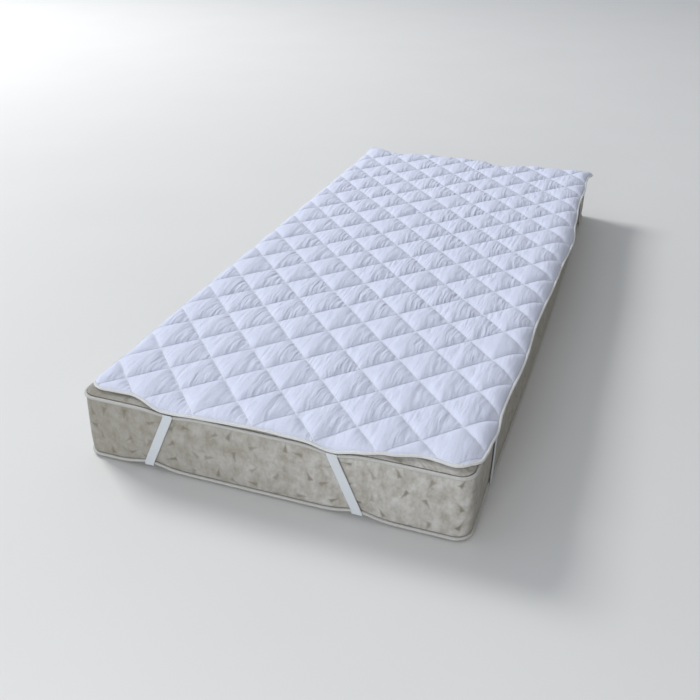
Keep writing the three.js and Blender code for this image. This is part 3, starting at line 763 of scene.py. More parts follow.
def stations():
    """One row each: x and y of the straight part's place, way out, and whether it is a corner."""
    corner = MATTRESS["corner"]
    ends, sides = straight_places(HALF[0], corner), straight_places(HALF[1], corner)
    quarter = np.linspace(0, np.pi / 2, CORNER_STEPS + 1)
    rows = []
    for turn, (side_x, side_y) in enumerate([(1, -1), (1, 1), (-1, 1), (-1, -1)]):
        places = (ends, sides, ends[::-1], sides[::-1])[turn]
        out = [(0, -1), (1, 0), (0, 1), (-1, 0)][turn]
        rows += [(place, place, *out, 0) for place in places]
        angles = quarter + (turn - 1) * np.pi / 2
        rows += [(side_x, side_y, math.cos(a), math.sin(a), 1) for a in angles]
    return np.array(rows)


STATIONS = stations()
print("stations round the mattress:", len(STATIONS))

# %% Points and bulge at the stations
def border_points(inset):
    """x and y of every station, moved in by a distance. The corners' arcs shrink with it."""
    half = HALF - inset
    radius = max(MATTRESS["corner"] - inset, LEAST_CORNER)
    x, y, out_x, out_y, corner = STATIONS.T
    at_corner = np.stack([x * (half[0] - radius) + radius * out_x, y * (half[1] - radius) + radius * out_y])
    on_end = np.stack([x * half[0] / HALF[0], out_y * half[1]])
    on_side = np.stack([out_x * half[0], y * half[1] / HALF[1]])
    straight = np.where(out_y != 0, on_end, on_side)
    return np.where(corner == 1, at_corner, straight)


def bulge_at(y):
    """How far the springs press the border out: less at the ends than along the sides."""
    on_end = (STATIONS[:, 4] == 0) & (STATIONS[:, 3] != 0)
    swell = np.clip(1 - (np.abs(y) / SIDE_BULGE_REACH) ** 2, 0, 1) ** SIDE_BULGE_FULLNESS
    return END_BULGE + (SIDE_BULGE - END_BULGE) * np.where(on_end, 0, swell)


border_x, border_y = border_points(0)
ROUND_THE_BORDER = round_lengths(np.stack([border_x, border_y], axis=1))
print("round the mattress:", round(float(ROUND_THE_BORDER[-1]), 2), "m")

# %% [markdown]
# The section of the mattress
#
# Cut through, the border is nearly upright, with a notch for each welt and a soft crown on top.
# Each row is a point of that section and its shares: how far it swells with the springs, lifts
# with the straps below and dips with those above. A subdivision would round the notches away, so
# soft curves join the rows of the border only.

# %% Section of the mattress
NOTCH = 0.0062
SECTION = [  # distance in from the edge, height, shares of bulge, lift and dip
    (0.095, 0.0, 0, 1, 0), (0.045, 0.0, 0, 1, 0), (0.014, 0.0, 0, 1, 0),
    (0.003, 0.0022, LOW_WELT_BULGE, 1, 0), (NOTCH, LOW_WELT_HEIGHT, LOW_WELT_BULGE, 1, 0),
    (0.0, LOW_WELT_HEIGHT + NOTCH, LOW_WELT_BULGE, 1, 0), (0.0, 0.045, 1, 0.4, 0),
    (0.0, 0.085, 0.9, 0.1, 0.1), (0.0, 0.125, 0.45, 0, 0.5), (0.0, RIM_HEIGHT - NOTCH, 0, 0, 1),
    (NOTCH, RIM_HEIGHT, 0, 0, 1), (0.003, RIM_HEIGHT + 0.0054, 0, 0, 1),
    (0.010, RIM_HEIGHT + 0.0082, 0, 0, 1), (0.024, RIM_HEIGHT + 0.0104, 0, 0, 1),
    (0.050, RIM_HEIGHT + CROWN, 0, 0, 1), (0.095, RIM_HEIGHT + CROWN, 0, 0, 1)]
BORDER_ROWS = (5, 9)               # the section's rows between the two welts
FINE_STEPS = 5
RIPPLE_FULLNESS = 0.5


def fine_section():
    """The section with soft steps between its rows, and each level's share of the ripples."""
    rows = np.array(SECTION)
    levels, ripples = [], []
    for row in range(len(rows) - 1):
        a, b = rows[row], rows[row + 1]
        before = rows[row - 1] if BORDER_ROWS[0] < row <= BORDER_ROWS[1] else 2 * a - b
        after = rows[row + 2] if BORDER_ROWS[0] <= row < BORDER_ROWS[1] - 1 else 2 * b - a
        on_border = BORDER_ROWS[0] <= row < BORDER_ROWS[1]
        for t in np.arange(FINE_STEPS) / FINE_STEPS:
            curve = (2 * a + (b - before) * t + (2 * before - 5 * a + 4 * b - after) * t ** 2
                     + (3 * a - before - 3 * b + after) * t ** 3) / 2
            levels.append(curve)
            way_up = (row - BORDER_ROWS[0] + t) / (BORDER_ROWS[1] - BORDER_ROWS[0])
            ripples.append(math.sin(math.pi * way_up) ** RIPPLE_FULLNESS if on_border else 0)
    return np.array(levels + [rows[-1]]), np.array(ripples + [0])


print("levels of the section:", len(fine_section()[0]))

# %% [markdown]
# The mattress's body
#
# Each level of the section goes once round the stations. The ticking puckers a little between its
# seams and along its rim, so soft noise moves the border out and in and the rim up and down.
# A bump in the material could fake that, but it would not show in the outline.

# %% Mattress
RIPPLE = {"depth": 0.0011, "round": 26, "up": 9, "slice": 5.3}
RIM_RIPPLE = {"depth": 0.0009, "round": 2, "inward": 40, "sink": 0.3}
RIM_CLOTH = {"above": 0.001, "inset": 0.03}        # the part of the panel next to the top welt


def rippled(places, height):
    """Soft noise round the border, from -1 to 1."""
    up = height * RIPPLE["up"]
    return np.array([noise.noise(Vector((place * RIPPLE["round"], up, RIPPLE["slice"])))
                     for place in places])


def make_mattress():
    levels, ripples = fine_section()
    swell = bulge_at(border_y)
    rings = []
    for (inset, z, bulge, lift, dip), ripple in zip(levels, ripples):
        x, y = border_points(max(inset, 0))
        pulled = (x, y) if inset > NOTCH else (border_x, border_y)
        end, side = insets(*pulled)
        out = bulge * swell + RIPPLE["depth"] * ripple * rippled(ROUND_THE_BORDER[:-1], z)
        height = z + lift * low_lift(*pulled, end, side) - dip * top_pull(*pulled, end, side)
        if RIM_HEIGHT + RIM_CLOTH["above"] < z and inset < RIM_CLOTH["inset"]:
            rise = rippled(RIM_RIPPLE["round"] * ROUND_THE_BORDER[:-1], RIM_RIPPLE["inward"] * inset)
            height = height + RIM_RIPPLE["depth"] * (rise - RIM_RIPPLE["sink"])
        rings.append(np.stack([x + STATIONS[:, 2] * out, y + STATIONS[:, 3] * out, height], axis=1))
    rings = np.array(rings)
    drop = np.linalg.norm(np.diff(levels[:, :2], axis=0), axis=1)
    up = np.concatenate([[0], np.cumsum(drop)])
    up -= up[BORDER_ROWS[0] * FINE_STEPS]
    spots = [[(place, height) for place in ROUND_THE_BORDER] for height in up]
    return capped("mattress_body", narrowed(rings), spots, (rings[0, :, :2], rings[-1, :, :2]))


mattress = make_mattress()
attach(mattress, "root")
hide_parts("mattress")
print("mattress:", len(mattress.data.polygons), "faces")

# %% [markdown]
# The piping
#
# The seams at the top and bottom of the border are finished with piping: a soft cord in a strip of
# cloth. A bevelled curve would be round and even, so the welt is swept round the stations too,
# which lets it dip and rise with the straps and pucker a little where its strip is gathered.

# %% Piping at the top and bottom seams
WELT_SIDES = 12
WELT_REFINE = 3
WELT_PUCKER = {"share": 0.05, "scale": 90, "slice": 1}


def refined(values):
    """Values at the stations with even steps between them, round the closed border."""
    closed = np.append(values, values[0])
    return np.interp(np.arange(len(values) * WELT_REFINE) / WELT_REFINE, np.arange(len(closed)), closed)


def make_welt(name, height, bulge, pulled):
    """A cord round the border at a height, with a share of its bulge and its own dips."""
    x, y, out_x, out_y = map(refined, (border_x, border_y, STATIONS[:, 2], STATIONS[:, 3]))
    swell = refined(bulge_at(border_y)) * bulge
    z = height + pulled(x, y, *insets(x, y))
    places = round_lengths(np.stack([x, y], axis=1))
    spots = [Vector((WELT_PUCKER["scale"] * s, height, WELT_PUCKER["slice"])) for s in places[:-1]]
    radius = WELT_RADIUS * np.array([1 + WELT_PUCKER["share"] * noise.noise(spot) for spot in spots])
    angle = 2 * np.pi * np.arange(WELT_SIDES) / WELT_SIDES
    reach = swell[:, None] + radius[:, None] * np.cos(angle)
    rings = np.stack([x[:, None] + out_x[:, None] * reach, y[:, None] + out_y[:, None] * reach,
                      z[:, None] + radius[:, None] * np.sin(angle)], axis=-1)
    around = WELT_RADIUS * 2 * np.pi * np.arange(WELT_SIDES + 1) / WELT_SIDES
    return swept(name, narrowed(rings[:, ::-1]), places, around)


piping_top = make_welt("piping_top", RIM_HEIGHT, 0, lambda *place: -top_pull(*place))
piping_bottom = make_welt("piping_bottom", LOW_WELT_HEIGHT, LOW_WELT_BULGE, low_lift)
for welt, node_name in ((piping_top, "welt_top"), (piping_bottom, "welt_bottom")):
    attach(welt, "root")
    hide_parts(node_name)
    print(welt.name, len(welt.data.polygons), "faces")

# %% [markdown]
# The elastic straps
#
# Each strap is a flat knitted elastic sewn under the tape at an end and at a side. It is stretched
# down the end, turns under the corner and comes up the side, so it is straight between its turns.
# The cloth simulation would only blur it. Its path is a short list of steps, each with a middle,
# a half width and the way its face looks, and soft curves join the steps.

# %% Start of a strap, under the tape
STRAP = {"width": 0.022, "thickness": 0.0012, "float": 0.0013, "wrap": 0.8, "under": 0.0019}
STRAP_LAP = 0.004
LONG_LAP = 0.015
PANEL_RISES = [(0.003, 0.0054), (0.010, 0.0082), (0.024, 0.0104), (0.050, CROWN)]
PANEL_STEPS = [(0.010, (0.3, 1)), (0.003, (0.5, 1))]      # distance in, and the way the face looks


def strap_start(reach, half, pull, pad_back):
    """Steps from under the tape over the welt: distance out, height, and the way the face looks."""
    off = WELT_RADIUS + STRAP["float"]
    out = reach - half
    under_tape = pad_back - TAPE_SWELL - STRAP["thickness"] / 2
    if out > WELT_RADIUS:
        return [(max(out - STRAP_LAP, off), under_tape, (1, 0))]

    def lying(inset, facing):
        rise = float(np.interp(inset, *np.array(PANEL_RISES).T)) + STRAP["float"]
        return (-inset, RIM_HEIGHT + rise - pull * float(fade_in(inset)), facing)

    first = lying(STRAP_LAP - out, (0, 1))
    steps = [(first[0], min(first[1], under_tape), first[2])]
    if -first[0] > LONG_LAP:
        steps.append(lying(*PANEL_STEPS[0]))
    steps.append(lying(*PANEL_STEPS[1]))
    steps.append((off * STRAP["wrap"], RIM_HEIGHT + off * STRAP["wrap"] - pull, (1, 1)))
    return steps


print("a strap starts", STRAP_LAP, "m in from the pad's edge")

# %% Down a face
EDGE_TABLES = {("end", -1): FOOT_EDGE, ("end", 1): HEAD_EDGE,
               ("side", -1): LEFT_EDGE, ("side", 1): RIGHT_EDGE}
FACE_SHARES = (0, 0.35, 0.7, 1)
WRAP_HEIGHT = LOW_WELT_HEIGHT + STRAP_LIFT


def face_steps(strap, face):
    """Steps down the "end" or the "side" to where the strap turns under: middle, half width, facing."""
    on_end = face == "end"
    half, inset = (HALF[1], (0, HALF[0])) if on_end else (HALF[0], (HALF[1], 0))

    def turned(along, out, up):
        out = strap[face] * out
        return (along, out, up) if on_end else (out, along, up)

    top = strap[face + "_top"]
    slant = strap[face + "_low"] - top
    reach = float(eased(EDGE_TABLES[face, strap[face]], top))
    pull = float(top_pull(*turned(top, half, 0)[:2], *inset))
    pad_back = float(underside(*turned(top, reach - TAPE_INSET, 0)[:2]))
    high, drop = RIM_HEIGHT - pull, RIM_HEIGHT - WRAP_HEIGHT
    wide = STRAP["width"] / 2 * math.hypot(slant, drop) / drop
    width = np.array(turned(wide * strap["side" if on_end else "end"], 0, 0))
    off = WELT_RADIUS + STRAP["float"]
    wrap, swell = off * STRAP["wrap"], LOW_WELT_BULGE * END_BULGE
    steps = [(out, 0, z, way) for out, z, way in strap_start(reach, half, pull, pad_back)]
    steps += [(off + swell * share, share, high + (WRAP_HEIGHT - high) * share, (1, 0))
              for share in FACE_SHARES]
    steps.append((swell + wrap, 1, WRAP_HEIGHT - wrap - STRAP["under"], (1, -1)))
    steps.append((swell, 1, WRAP_HEIGHT - off - STRAP["under"], (0, -1)))
    return [(turned(top + slant * share, half + out, z), width, turned(0, *way))
            for out, share, z, way in steps]


print("steps down the foot:", len(face_steps(STRAPS[0], "end")))

# %% Under the corner
CORNER_SHARES = (0.07, 0.16, 0.28, 0.5, 0.72, 0.84, 0.93)
TURN_SHARE = 0.28


def corner_steps(strap, end_width, side_width):
    """Steps under the mattress's corner, from the end to the side."""
    start = np.array([strap["end_low"], strap["end"] * HALF[1]])
    finish = np.array([strap["side"] * HALF[0], strap["side_low"]])
    across = (finish - start) / np.linalg.norm(finish - start)
    square = np.array([across[1], -across[0], 0])
    square *= np.sign(square[0] * strap["side"])
    wide = STRAP["width"] / 2
    steps = []
    for share in CORNER_SHARES:
        spot = start + (finish - start) * share
        lift = float(low_lift(*spot, *insets(*spot)))
        width = square * wide
        for straight, turned in ((end_width, share), (side_width, 1 - share)):
            width = width + (straight - width) * np.clip(1 - turned / TURN_SHARE, 0, 1)
        width *= wide / np.linalg.norm(width)
        steps.append(((*spot, STRAP["float"] + lift), width, (0, 0, -1)))
    return steps


def strap_steps(strap):
    on_end, on_side = face_steps(strap, "end"), face_steps(strap, "side")
    return on_end + corner_steps(strap, on_end[0][1], on_side[0][1]) + on_side[::-1]


print("steps of the first strap:", len(strap_steps(STRAPS[0])))

# %% [markdown]
# The strap's mesh
#
# Knitted elastic is about a millimetre thick, with edges a little thinner than its middle. A flat
# plane would vanish when it is seen from its side, so each strap is a closed body: one face that
# looks out and one that looks in, with the steps' curves drawn fine between them.

# %% Soft curves between the steps
STRAP_FINE = 6


def softly_joined(values):
    """Catmull-Rom points between the steps."""
    values = np.array(values, dtype=float)
    padded = np.concatenate([[2 * values[0] - values[1]], values, [2 * values[-1] - values[-2]]])
    made = []
    for i in range(1, len(padded) - 2):
        before, a, b, after = padded[i - 1:i + 3]
        chord = np.linalg.norm(b - a)
        lead, trail = np.linalg.norm(a - before), np.linalg.norm(after - b)
        start = (b - before) * chord / max(chord + lead, TINY)
        end = (after - a) * chord / max(chord + trail, TINY)
        for t in np.arange(STRAP_FINE) / STRAP_FINE:
            made.append((2 * t ** 3 - 3 * t ** 2 + 1) * a + (t ** 3 - 2 * t ** 2 + t) * start
                        + (3 * t ** 2 - 2 * t ** 3) * b + (t ** 3 - t ** 2) * end)
    return np.array(made + [values[-1]])


print("points between two steps:", STRAP_FINE - 1)

# %% Elastic straps
STRAP_ACROSS = 10
ROUNDED_EDGE = 0.5


def make_strap(strap):
    steps = strap_steps(strap)
    middles = softly_joined([middle for middle, _, _ in steps])
    widths = softly_joined([width for _, width, _ in steps])[:len(middles)]
    facings = softly_joined([facing for _, _, facing in steps])
    along = np.gradient(middles, axis=0)
    facings -= along * (facings * along).sum(axis=1, keepdims=True) / (along ** 2).sum(axis=1, keepdims=True)
    facings /= np.linalg.norm(facings, axis=1, keepdims=True)
    share = np.linspace(-1, 1, STRAP_ACROSS + 1)
    thin = STRAP["thickness"] / 2 * np.sqrt(1 - (ROUNDED_EDGE * np.abs(share) ** 4))
    flat = middles[:, None] + widths[:, None] * share[None, :, None]
    thick = facings[:, None] * thin[None, :, None]
    rings = np.concatenate([flat + thick, (flat - thick)[:, ::-1]], axis=1)
    places = np.concatenate([[0], np.cumsum(np.linalg.norm(np.diff(middles, axis=0), axis=1))])
    across = np.concatenate([share, share[::-1], share[:1]]) * STRAP["width"] / 2
    spots = [[(place, side) for side in across] for place in places]
    piece = capped("elastic_" + strap["name"], narrowed(rings), spots, (spots[0][:-1], spots[-1][:-1]))
    return piece, float(places[-1])


straps = []
for strap in STRAPS:
    piece, length = make_strap(strap)
    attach(piece, "root")
    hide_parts(strap["name"])
    straps.append(piece)
    print(piece.name, round(length, 3), "m long as it lies")

# %% [markdown]
# Materials
#
# Every cloth here is matt, and its weave shows only as a faint grain. The weaves could be pictures
# of cloth, but a node network stays sharp at any distance, so each one is built from waves and
# noise laid along the cloth's own threads. A few helpers keep the networks short.

# %% A material and its nodes
CLOTH_SHINE = 0.25


def material(name, color, roughness, sheen=0.0):
    made = bpy.data.materials.new(name)
    made.use_nodes = True
    shader = made.node_tree.nodes["Principled BSDF"]
    shader.inputs["Base Color"].default_value = (*color, 1)
    shader.inputs["Roughness"].default_value = roughness
    shader.inputs["Specular IOR Level"].default_value = CLOTH_SHINE
    shader.inputs["Sheen Weight"].default_value = sheen
    return made, made.node_tree, shader


def node(tree, kind, inputs=None, **settings):
    """A node with its settings and inputs; an input is a value or another node's output."""
    made = tree.nodes.new(kind)
    for name, value in settings.items():
        setattr(made, name, value)
    for name, value in (inputs or {}).items():
        if isinstance(value, bpy.types.NodeSocket):
            tree.links.new(value, made.inputs[name])
        else:
            made.inputs[name].default_value = value
    return made


def math_of(tree, operation, *values):
    return node(tree, "ShaderNodeMath", dict(enumerate(values)), operation=operation).outputs[0]


def parts_of(tree, place):
    return node(tree, "ShaderNodeSeparateXYZ", {0: place}).outputs


def use(piece, made):
    piece.data.materials.clear()
    piece.data.materials.append(made)


print("shine of every cloth:", CLOTH_SHINE)

# %% Noise, ramps, colours and bumps
def stretched(tree, source, scale):
    """Coordinates scaled by three factors."""
    return node(tree, "ShaderNodeVectorMath", {0: source, 1: scale}, operation="MULTIPLY").outputs[0]


def noise_of(tree, source, scale, detail=2.0, roughness=0.5):
    inputs = {"Vector": source, "Scale": scale, "Detail": detail, "Roughness": roughness}
    return node(tree, "ShaderNodeTexNoise", inputs).outputs["Fac"]


def ramp(tree, value, low, high, start=0.0, end=1.0):
    """Leads from start to end while the value goes from low to high."""
    inputs = {"Value": value, "From Min": low, "From Max": high, "To Min": start, "To Max": end}
    return node(tree, "ShaderNodeMapRange", inputs).outputs[0]


def mixed_color(tree, share, first, second):
    made = node(tree, "ShaderNodeMix", data_type="RGBA")
    for socket, value in ((made.inputs[0], share), (made.inputs[6], first), (made.inputs[7], second)):
        if isinstance(value, bpy.types.NodeSocket):
            tree.links.new(value, socket)
        else:
            socket.default_value = (*value, 1) if isinstance(value, tuple) else value
    return made.outputs[2]


def bumped(tree, shader, heights):
    """Adds bumps one over another: each is a height, its size in metres and its strength."""
    normal = None
    for height, distance, strength in heights:
        inputs = {"Height": height, "Distance": distance, "Strength": strength}
        if normal is not None:
            inputs["Normal"] = normal
        normal = node(tree, "ShaderNodeBump", inputs).outputs[0]
    tree.links.new(normal, shader.inputs["Normal"])


print("helpers:", [helper.__name__ for helper in (stretched, noise_of, ramp, mixed_color, bumped)])

# %% Threads and stitches
STITCH = {"length": 0.0035, "thread": 0.0004, "core": 0.4}
NEEDLE_HOLE = (0.34, 0.44)         # where a stitch ends, counted from its middle


def cloth_places(tree):
    """Place on a strip of cloth in metres, and its two parts: along and across."""
    spot = node(tree, "ShaderNodeUVMap", uv_map="cloth").outputs[0]
    return spot, *parts_of(tree, spot)[:2]


def weave(tree, across, along, pitch):
    """Height of a plain weave: threads both ways, each over and under the other."""
    turn = math.tau / pitch
    warp = math_of(tree, "SINE", math_of(tree, "MULTIPLY", across, turn))
    weft = math_of(tree, "SINE", math_of(tree, "MULTIPLY", along, turn))
    return math_of(tree, "MULTIPLY", warp, weft)


def stitches(tree, along, beside):
    """Thread of a row of stitches: 1 on it, 0 in its needle holes and beside it."""
    step = math_of(tree, "FRACT", math_of(tree, "DIVIDE", along, STITCH["length"]))
    middle = math_of(tree, "ABSOLUTE", math_of(tree, "SUBTRACT", step, 0.5))
    dash = ramp(tree, middle, *NEEDLE_HOLE, 1.0, 0.0)
    close = ramp(tree, beside, STITCH["core"] * STITCH["thread"], STITCH["thread"], 1.0, 0.0)
    return math_of(tree, "MULTIPLY", dash, close)


print("stitches:", 1000 * STITCH["length"], "mm each")

# %% [markdown]
# The pad's cloth
#
# It is a thin white cotton, painted a little blue to stand in for a cool light on it. Between the
# creases of the mesh lie finer ones, too many for a mesh, so noise drawn out along arcs makes them
# as bump. Its arcs lie round the left and the right corner of each diamond, and each diamond has
# its own draw. The stitches are a row of short dashes. Along one way of the seams they catch the
# light, and along the other they lie in their own shade, so the two ways differ a little in colour.

# %% Places in a diamond, and its fine creases
FINE_CREASE = 0.0088
CREASE_CENTRE = 2.40               # middle of the folds' curves, counted in diamond sides
CREASE_TURN = 4.6
CREASE_REACH = (0.80, 1.30)        # the folds show from this sum of a and b, and are full from that
DIAMOND_NUMBERS = (7.31, 3.17)     # two steps that give every diamond a number of its own
SIDE = float(np.hypot(*HALF_DIAGONAL))


def diamonds(tree, parts):
    """Place in a diamond along its two seams, 0 to 1 each, and the diamond's own number."""
    m, n = (math_of(tree, "MULTIPLY_ADD", part, 0.5 / half, -0.5 * start / half)
            for part, half, start in zip(parts, HALF_DIAGONAL, CROSSING))
    p, q = math_of(tree, "ADD", m, n), math_of(tree, "SUBTRACT", m, n)
    floors = [math_of(tree, "FLOOR", value) for value in (p, q)]
    number = math_of(tree, "MULTIPLY_ADD", floors[0], DIAMOND_NUMBERS[0],
                     math_of(tree, "MULTIPLY", floors[1], DIAMOND_NUMBERS[1]))
    return math_of(tree, "FRACT", p), math_of(tree, "FRACT", q), number


def creases_round(tree, a, b, number, offset, wander):
    """Fine folds that curve round a corner of a diamond, where a and b are 1."""
    away = [math_of(tree, "SUBTRACT", CREASE_CENTRE, value) for value in (a, b)]
    squares = [math_of(tree, "MULTIPLY", way, way) for way in away]
    radius = math_of(tree, "SQRT", math_of(tree, "ADD", *squares))
    turn = math_of(tree, "ARCTAN2", *away)
    out = math_of(tree, "MULTIPLY_ADD", radius, SIDE / FINE_CREASE, wander)
    spot = node(tree, "ShaderNodeCombineXYZ", {
        0: out, 1: math_of(tree, "MULTIPLY", turn, CREASE_TURN), 2: math_of(tree, "ADD", number, offset)})
    fold = noise_of(tree, spot.outputs[0], scale=1.0, detail=1.0, roughness=0.45)
    inputs = {"Value": math_of(tree, "ADD", a, b), "From Min": CREASE_REACH[0], "From Max": CREASE_REACH[1]}
    reach = node(tree, "ShaderNodeMapRange", inputs, interpolation_type="SMOOTHSTEP").outputs[0]
    return math_of(tree, "MULTIPLY", math_of(tree, "SUBTRACT", fold, 0.5), reach)


print("fine creases every", round(2000 * FINE_CREASE), "mm or so")

# %% Folds of the pad's cloth
CREASE_WANDER = 0.8
WANDER_SCALE = 34.0
LEFT_FOLDS = {"share": 0.7, "offset": 51.7}
FOLD_CHANCE = (0.8, 0.45)          # what a diamond's own draw adds, and the least strength
FOLDS_AT_SIDE = (0.34, 0.46, 1.0, 0.45)      # from one distance off the middle to another: strengths
FOLDS_FROM_FOOT = (-0.98, -0.10, 0.80, 1.4)  # from one place along the bed to another: strengths


def pad_folds(tree, place, parts, number, p, q, rest_p, rest_q):
    """Fine folds round the right and the left corner of each diamond, calmer at the pad's sides."""
    wander = math_of(tree, "MULTIPLY", noise_of(tree, place, WANDER_SCALE, detail=1.0), CREASE_WANDER)
    right = creases_round(tree, p, q, number, 0.0, wander)
    left = creases_round(tree, rest_p, rest_q, number, LEFT_FOLDS["offset"], wander)
    folds = math_of(tree, "MULTIPLY_ADD", left, LEFT_FOLDS["share"], right)
    chance = node(tree, "ShaderNodeTexWhiteNoise", {"W": number}, noise_dimensions="1D").outputs[0]
    folds = math_of(tree, "MULTIPLY", folds, math_of(tree, "MULTIPLY_ADD", chance, *FOLD_CHANCE))
    from_side = ramp(tree, math_of(tree, "ABSOLUTE", parts[0]), *FOLDS_AT_SIDE)
    from_foot = ramp(tree, parts[1], *FOLDS_FROM_FOOT)
    return math_of(tree, "MULTIPLY", folds, math_of(tree, "MULTIPLY", from_side, from_foot))


print("folds reach", round(SIDE * (2 - CREASE_REACH[0]), 3), "m from a corner, along both sides")

# %% Cloth of the pad
# white cloth, painted a little blue to stand in for a cool light on it
PAD_SHADES_PAINTED_BLUE = ((0.72, 0.76, 0.925), (0.76, 0.80, 0.955))
PAD_TINT = (6, 3, 6)
PAD_THREAD = 0.0009
FOLD_HEIGHT = 0.0042
SEAM_SHADE = (0.60, 0.64, 0.78)
SEAM_LIGHT = (0.81, 0.85, 0.975)
SEAM_DENT = (0.004, 0.016)         # in diamond sides, as the next two are
SEAM_START = 0.010
SEAM_BANDS = (0.036, 0.030)        # how wide the seams catch the light, and how wide they shade

pad_cloth, tree, shader = material("pad_cloth", PAD_SHADES_PAINTED_BLUE[1], roughness=0.8, sheen=0.1)
place = node(tree, "ShaderNodeTexCoord").outputs["Object"]
parts = parts_of(tree, place)
p, q, number = diamonds(tree, parts)
rest_p, rest_q = math_of(tree, "SUBTRACT", 1.0, p), math_of(tree, "SUBTRACT", 1.0, q)
folds = pad_folds(tree, place, parts, number, p, q, rest_p, rest_q)
near_p, near_q = math_of(tree, "MINIMUM", p, rest_p), math_of(tree, "MINIMUM", q, rest_q)
seam = ramp(tree, math_of(tree, "MINIMUM", near_p, near_q), *SEAM_DENT)
rows = [stitches(tree, math_of(tree, "MULTIPLY", along, SIDE), math_of(tree, "MULTIPLY", near, SIDE))
        for along, near in ((q, near_p), (p, near_q))]
thread = math_of(tree, "MAXIMUM", *rows)
threads = weave(tree, parts[0], parts[1], PAD_THREAD)
bumped(tree, shader, [(folds, FOLD_HEIGHT, 1.0), (seam, 0.0008, 0.5), (thread, 0.0003, 0.7),
                      (threads, 0.0002, 0.4)])
tint = noise_of(tree, stretched(tree, place, PAD_TINT), 1.0, detail=3.0)
shade = mixed_color(tree, tint, *PAD_SHADES_PAINTED_BLUE)
bands = [ramp(tree, near, SEAM_START, wide) for near, wide in zip((near_p, near_q), SEAM_BANDS)]
shade = mixed_color(tree, bands[0], SEAM_LIGHT, mixed_color(tree, bands[1], SEAM_SHADE, shade))
tree.links.new(mixed_color(tree, thread, shade, PAD_SHADES_PAINTED_BLUE[1]), shader.inputs["Base Color"])
use(pad, pad_cloth)
print(pad_cloth.name, len(tree.nodes), "nodes")

# %% [markdown]
# The tape's cloth
#
# The tape is a firmer, slightly warmer cotton, gathered by the stitches that hold it. It could
# share the pad's cloth, but its threads run along the edge, so it takes coordinates along its own
# length and across its own width.

# %% Cloth of the tape
TAPE_SHADES = ((0.76, 0.77, 0.775), (0.82, 0.83, 0.835))
# colour of the painted shade in the dents along the stitch rows
TAPE_DENT_PAINTED_SHADE = (0.66, 0.66, 0.65)
TAPE_THREAD_SHADE = (0.86, 0.86, 0.85)
TAPE_STITCH = 0.0014               # row of stitches, in from each of the tape's edges
TAPE_DENT = 0.0016
TAPE_PUCKER = (210, 50, 1)
TAPE_THREAD = 0.0008

tape_cloth, tree, shader = material("binding_tape", TAPE_SHADES[0], roughness=0.75, sheen=0.1)
spot, along, across = cloth_places(tree)
off_rows = [math_of(tree, "ABSOLUTE", math_of(tree, "SUBTRACT", across, row))
            for row in (TAPE_STITCH, TAPE_CUT - TAPE_STITCH)]
beside = math_of(tree, "MINIMUM", *off_rows)
thread = stitches(tree, along, beside)
dent = ramp(tree, beside, 0.0, TAPE_DENT)
pucker = noise_of(tree, stretched(tree, spot, TAPE_PUCKER), 1.0)
threads = weave(tree, along, across, TAPE_THREAD)
bumped(tree, shader, [(pucker, 0.0022, 0.8), (dent, 0.0005, 0.7), (thread, 0.0003, 0.8),
                      (threads, 0.0002, 0.5)])
# painted shade: the tape is darker in the dents beside its stitches
shade = mixed_color(tree, dent, TAPE_DENT_PAINTED_SHADE, mixed_color(tree, pucker, *TAPE_SHADES))
tree.links.new(mixed_color(tree, thread, shade, TAPE_THREAD_SHADE), shader.inputs["Base Color"])
use(binding, tape_cloth)
print(tape_cloth.name, len(tree.nodes), "nodes")

# %% [markdown]
# The elastic
#
# Knitted elastic has fine ribs along its length and a short fuzz. A brushed metal's anisotropy is
# sometimes used for ribs, but here each rib is a rounded bump with a little painted shade between.

# %% Knit of the elastic
RIB = 0.0022
KNIT_ROW = 0.0013
FUZZ = (600, 600, 1)
FUZZ_SHARE = 0.3
FUZZ_SHADE = (0.70, 0.73, 0.76)
# colours of the painted shade between the ribs and of the ribs themselves
ELASTIC_PAINTED_SHADE_AND_RIB = ((0.64, 0.68, 0.73), (0.78, 0.82, 0.86))

elastic, tree, shader = material("elastic", ELASTIC_PAINTED_SHADE_AND_RIB[1], roughness=0.7, sheen=0.1)
spot, along, across = cloth_places(tree)
ribs = math_of(tree, "ABSOLUTE", math_of(tree, "SINE", math_of(tree, "MULTIPLY", across, math.pi / RIB)))
knit = math_of(tree, "SINE", math_of(tree, "MULTIPLY", along, math.tau / KNIT_ROW))
knit = math_of(tree, "MULTIPLY", knit, ribs)
fuzz = noise_of(tree, stretched(tree, spot, FUZZ), 1.0)
bumped(tree, shader, [(ribs, 0.0006, 0.7), (knit, 0.0002, 0.6), (fuzz, 0.0003, 0.4)])
# painted shade: the colour darkens between the ribs
shade = mixed_color(tree, ribs, *ELASTIC_PAINTED_SHADE_AND_RIB)
shade = mixed_color(tree, math_of(tree, "MULTIPLY", fuzz, FUZZ_SHARE), shade, FUZZ_SHADE)
tree.links.new(shade, shader.inputs["Base Color"])
for strap_piece in straps:
    use(strap_piece, elastic)
print(elastic.name, len(tree.nodes), "nodes")

# %% [markdown]
# Ticking
#
# The mattress's ticking is a beige jacquard, cloudy and faintly streaked, with small pointed marks
# woven in all over. Painting them as a picture would tie them to one size, so a loose grid of
# cells places them: each cell has one mark, its own turn and its own strength. Towards the left
# the cloth is a little darker and browner, as in the picture: painted shade, one slow change of
# colour for the dimmer light there. The right side is painted darker too, as its shade.

# %% Marks woven into the ticking
MARK_GAP = 0.054
MARK_SCATTER = 0.6
MARK_TURN = 9.0
MARK = {"length": 0.027, "width": 0.0120, "blur": 0.0030}
MARK_CHANCE = (0.4, 0.45)          # what a mark's own draw adds, and the least strength
DRIFT = {"scale": 60.0, "reach": (0.006, 0.006, 0)}


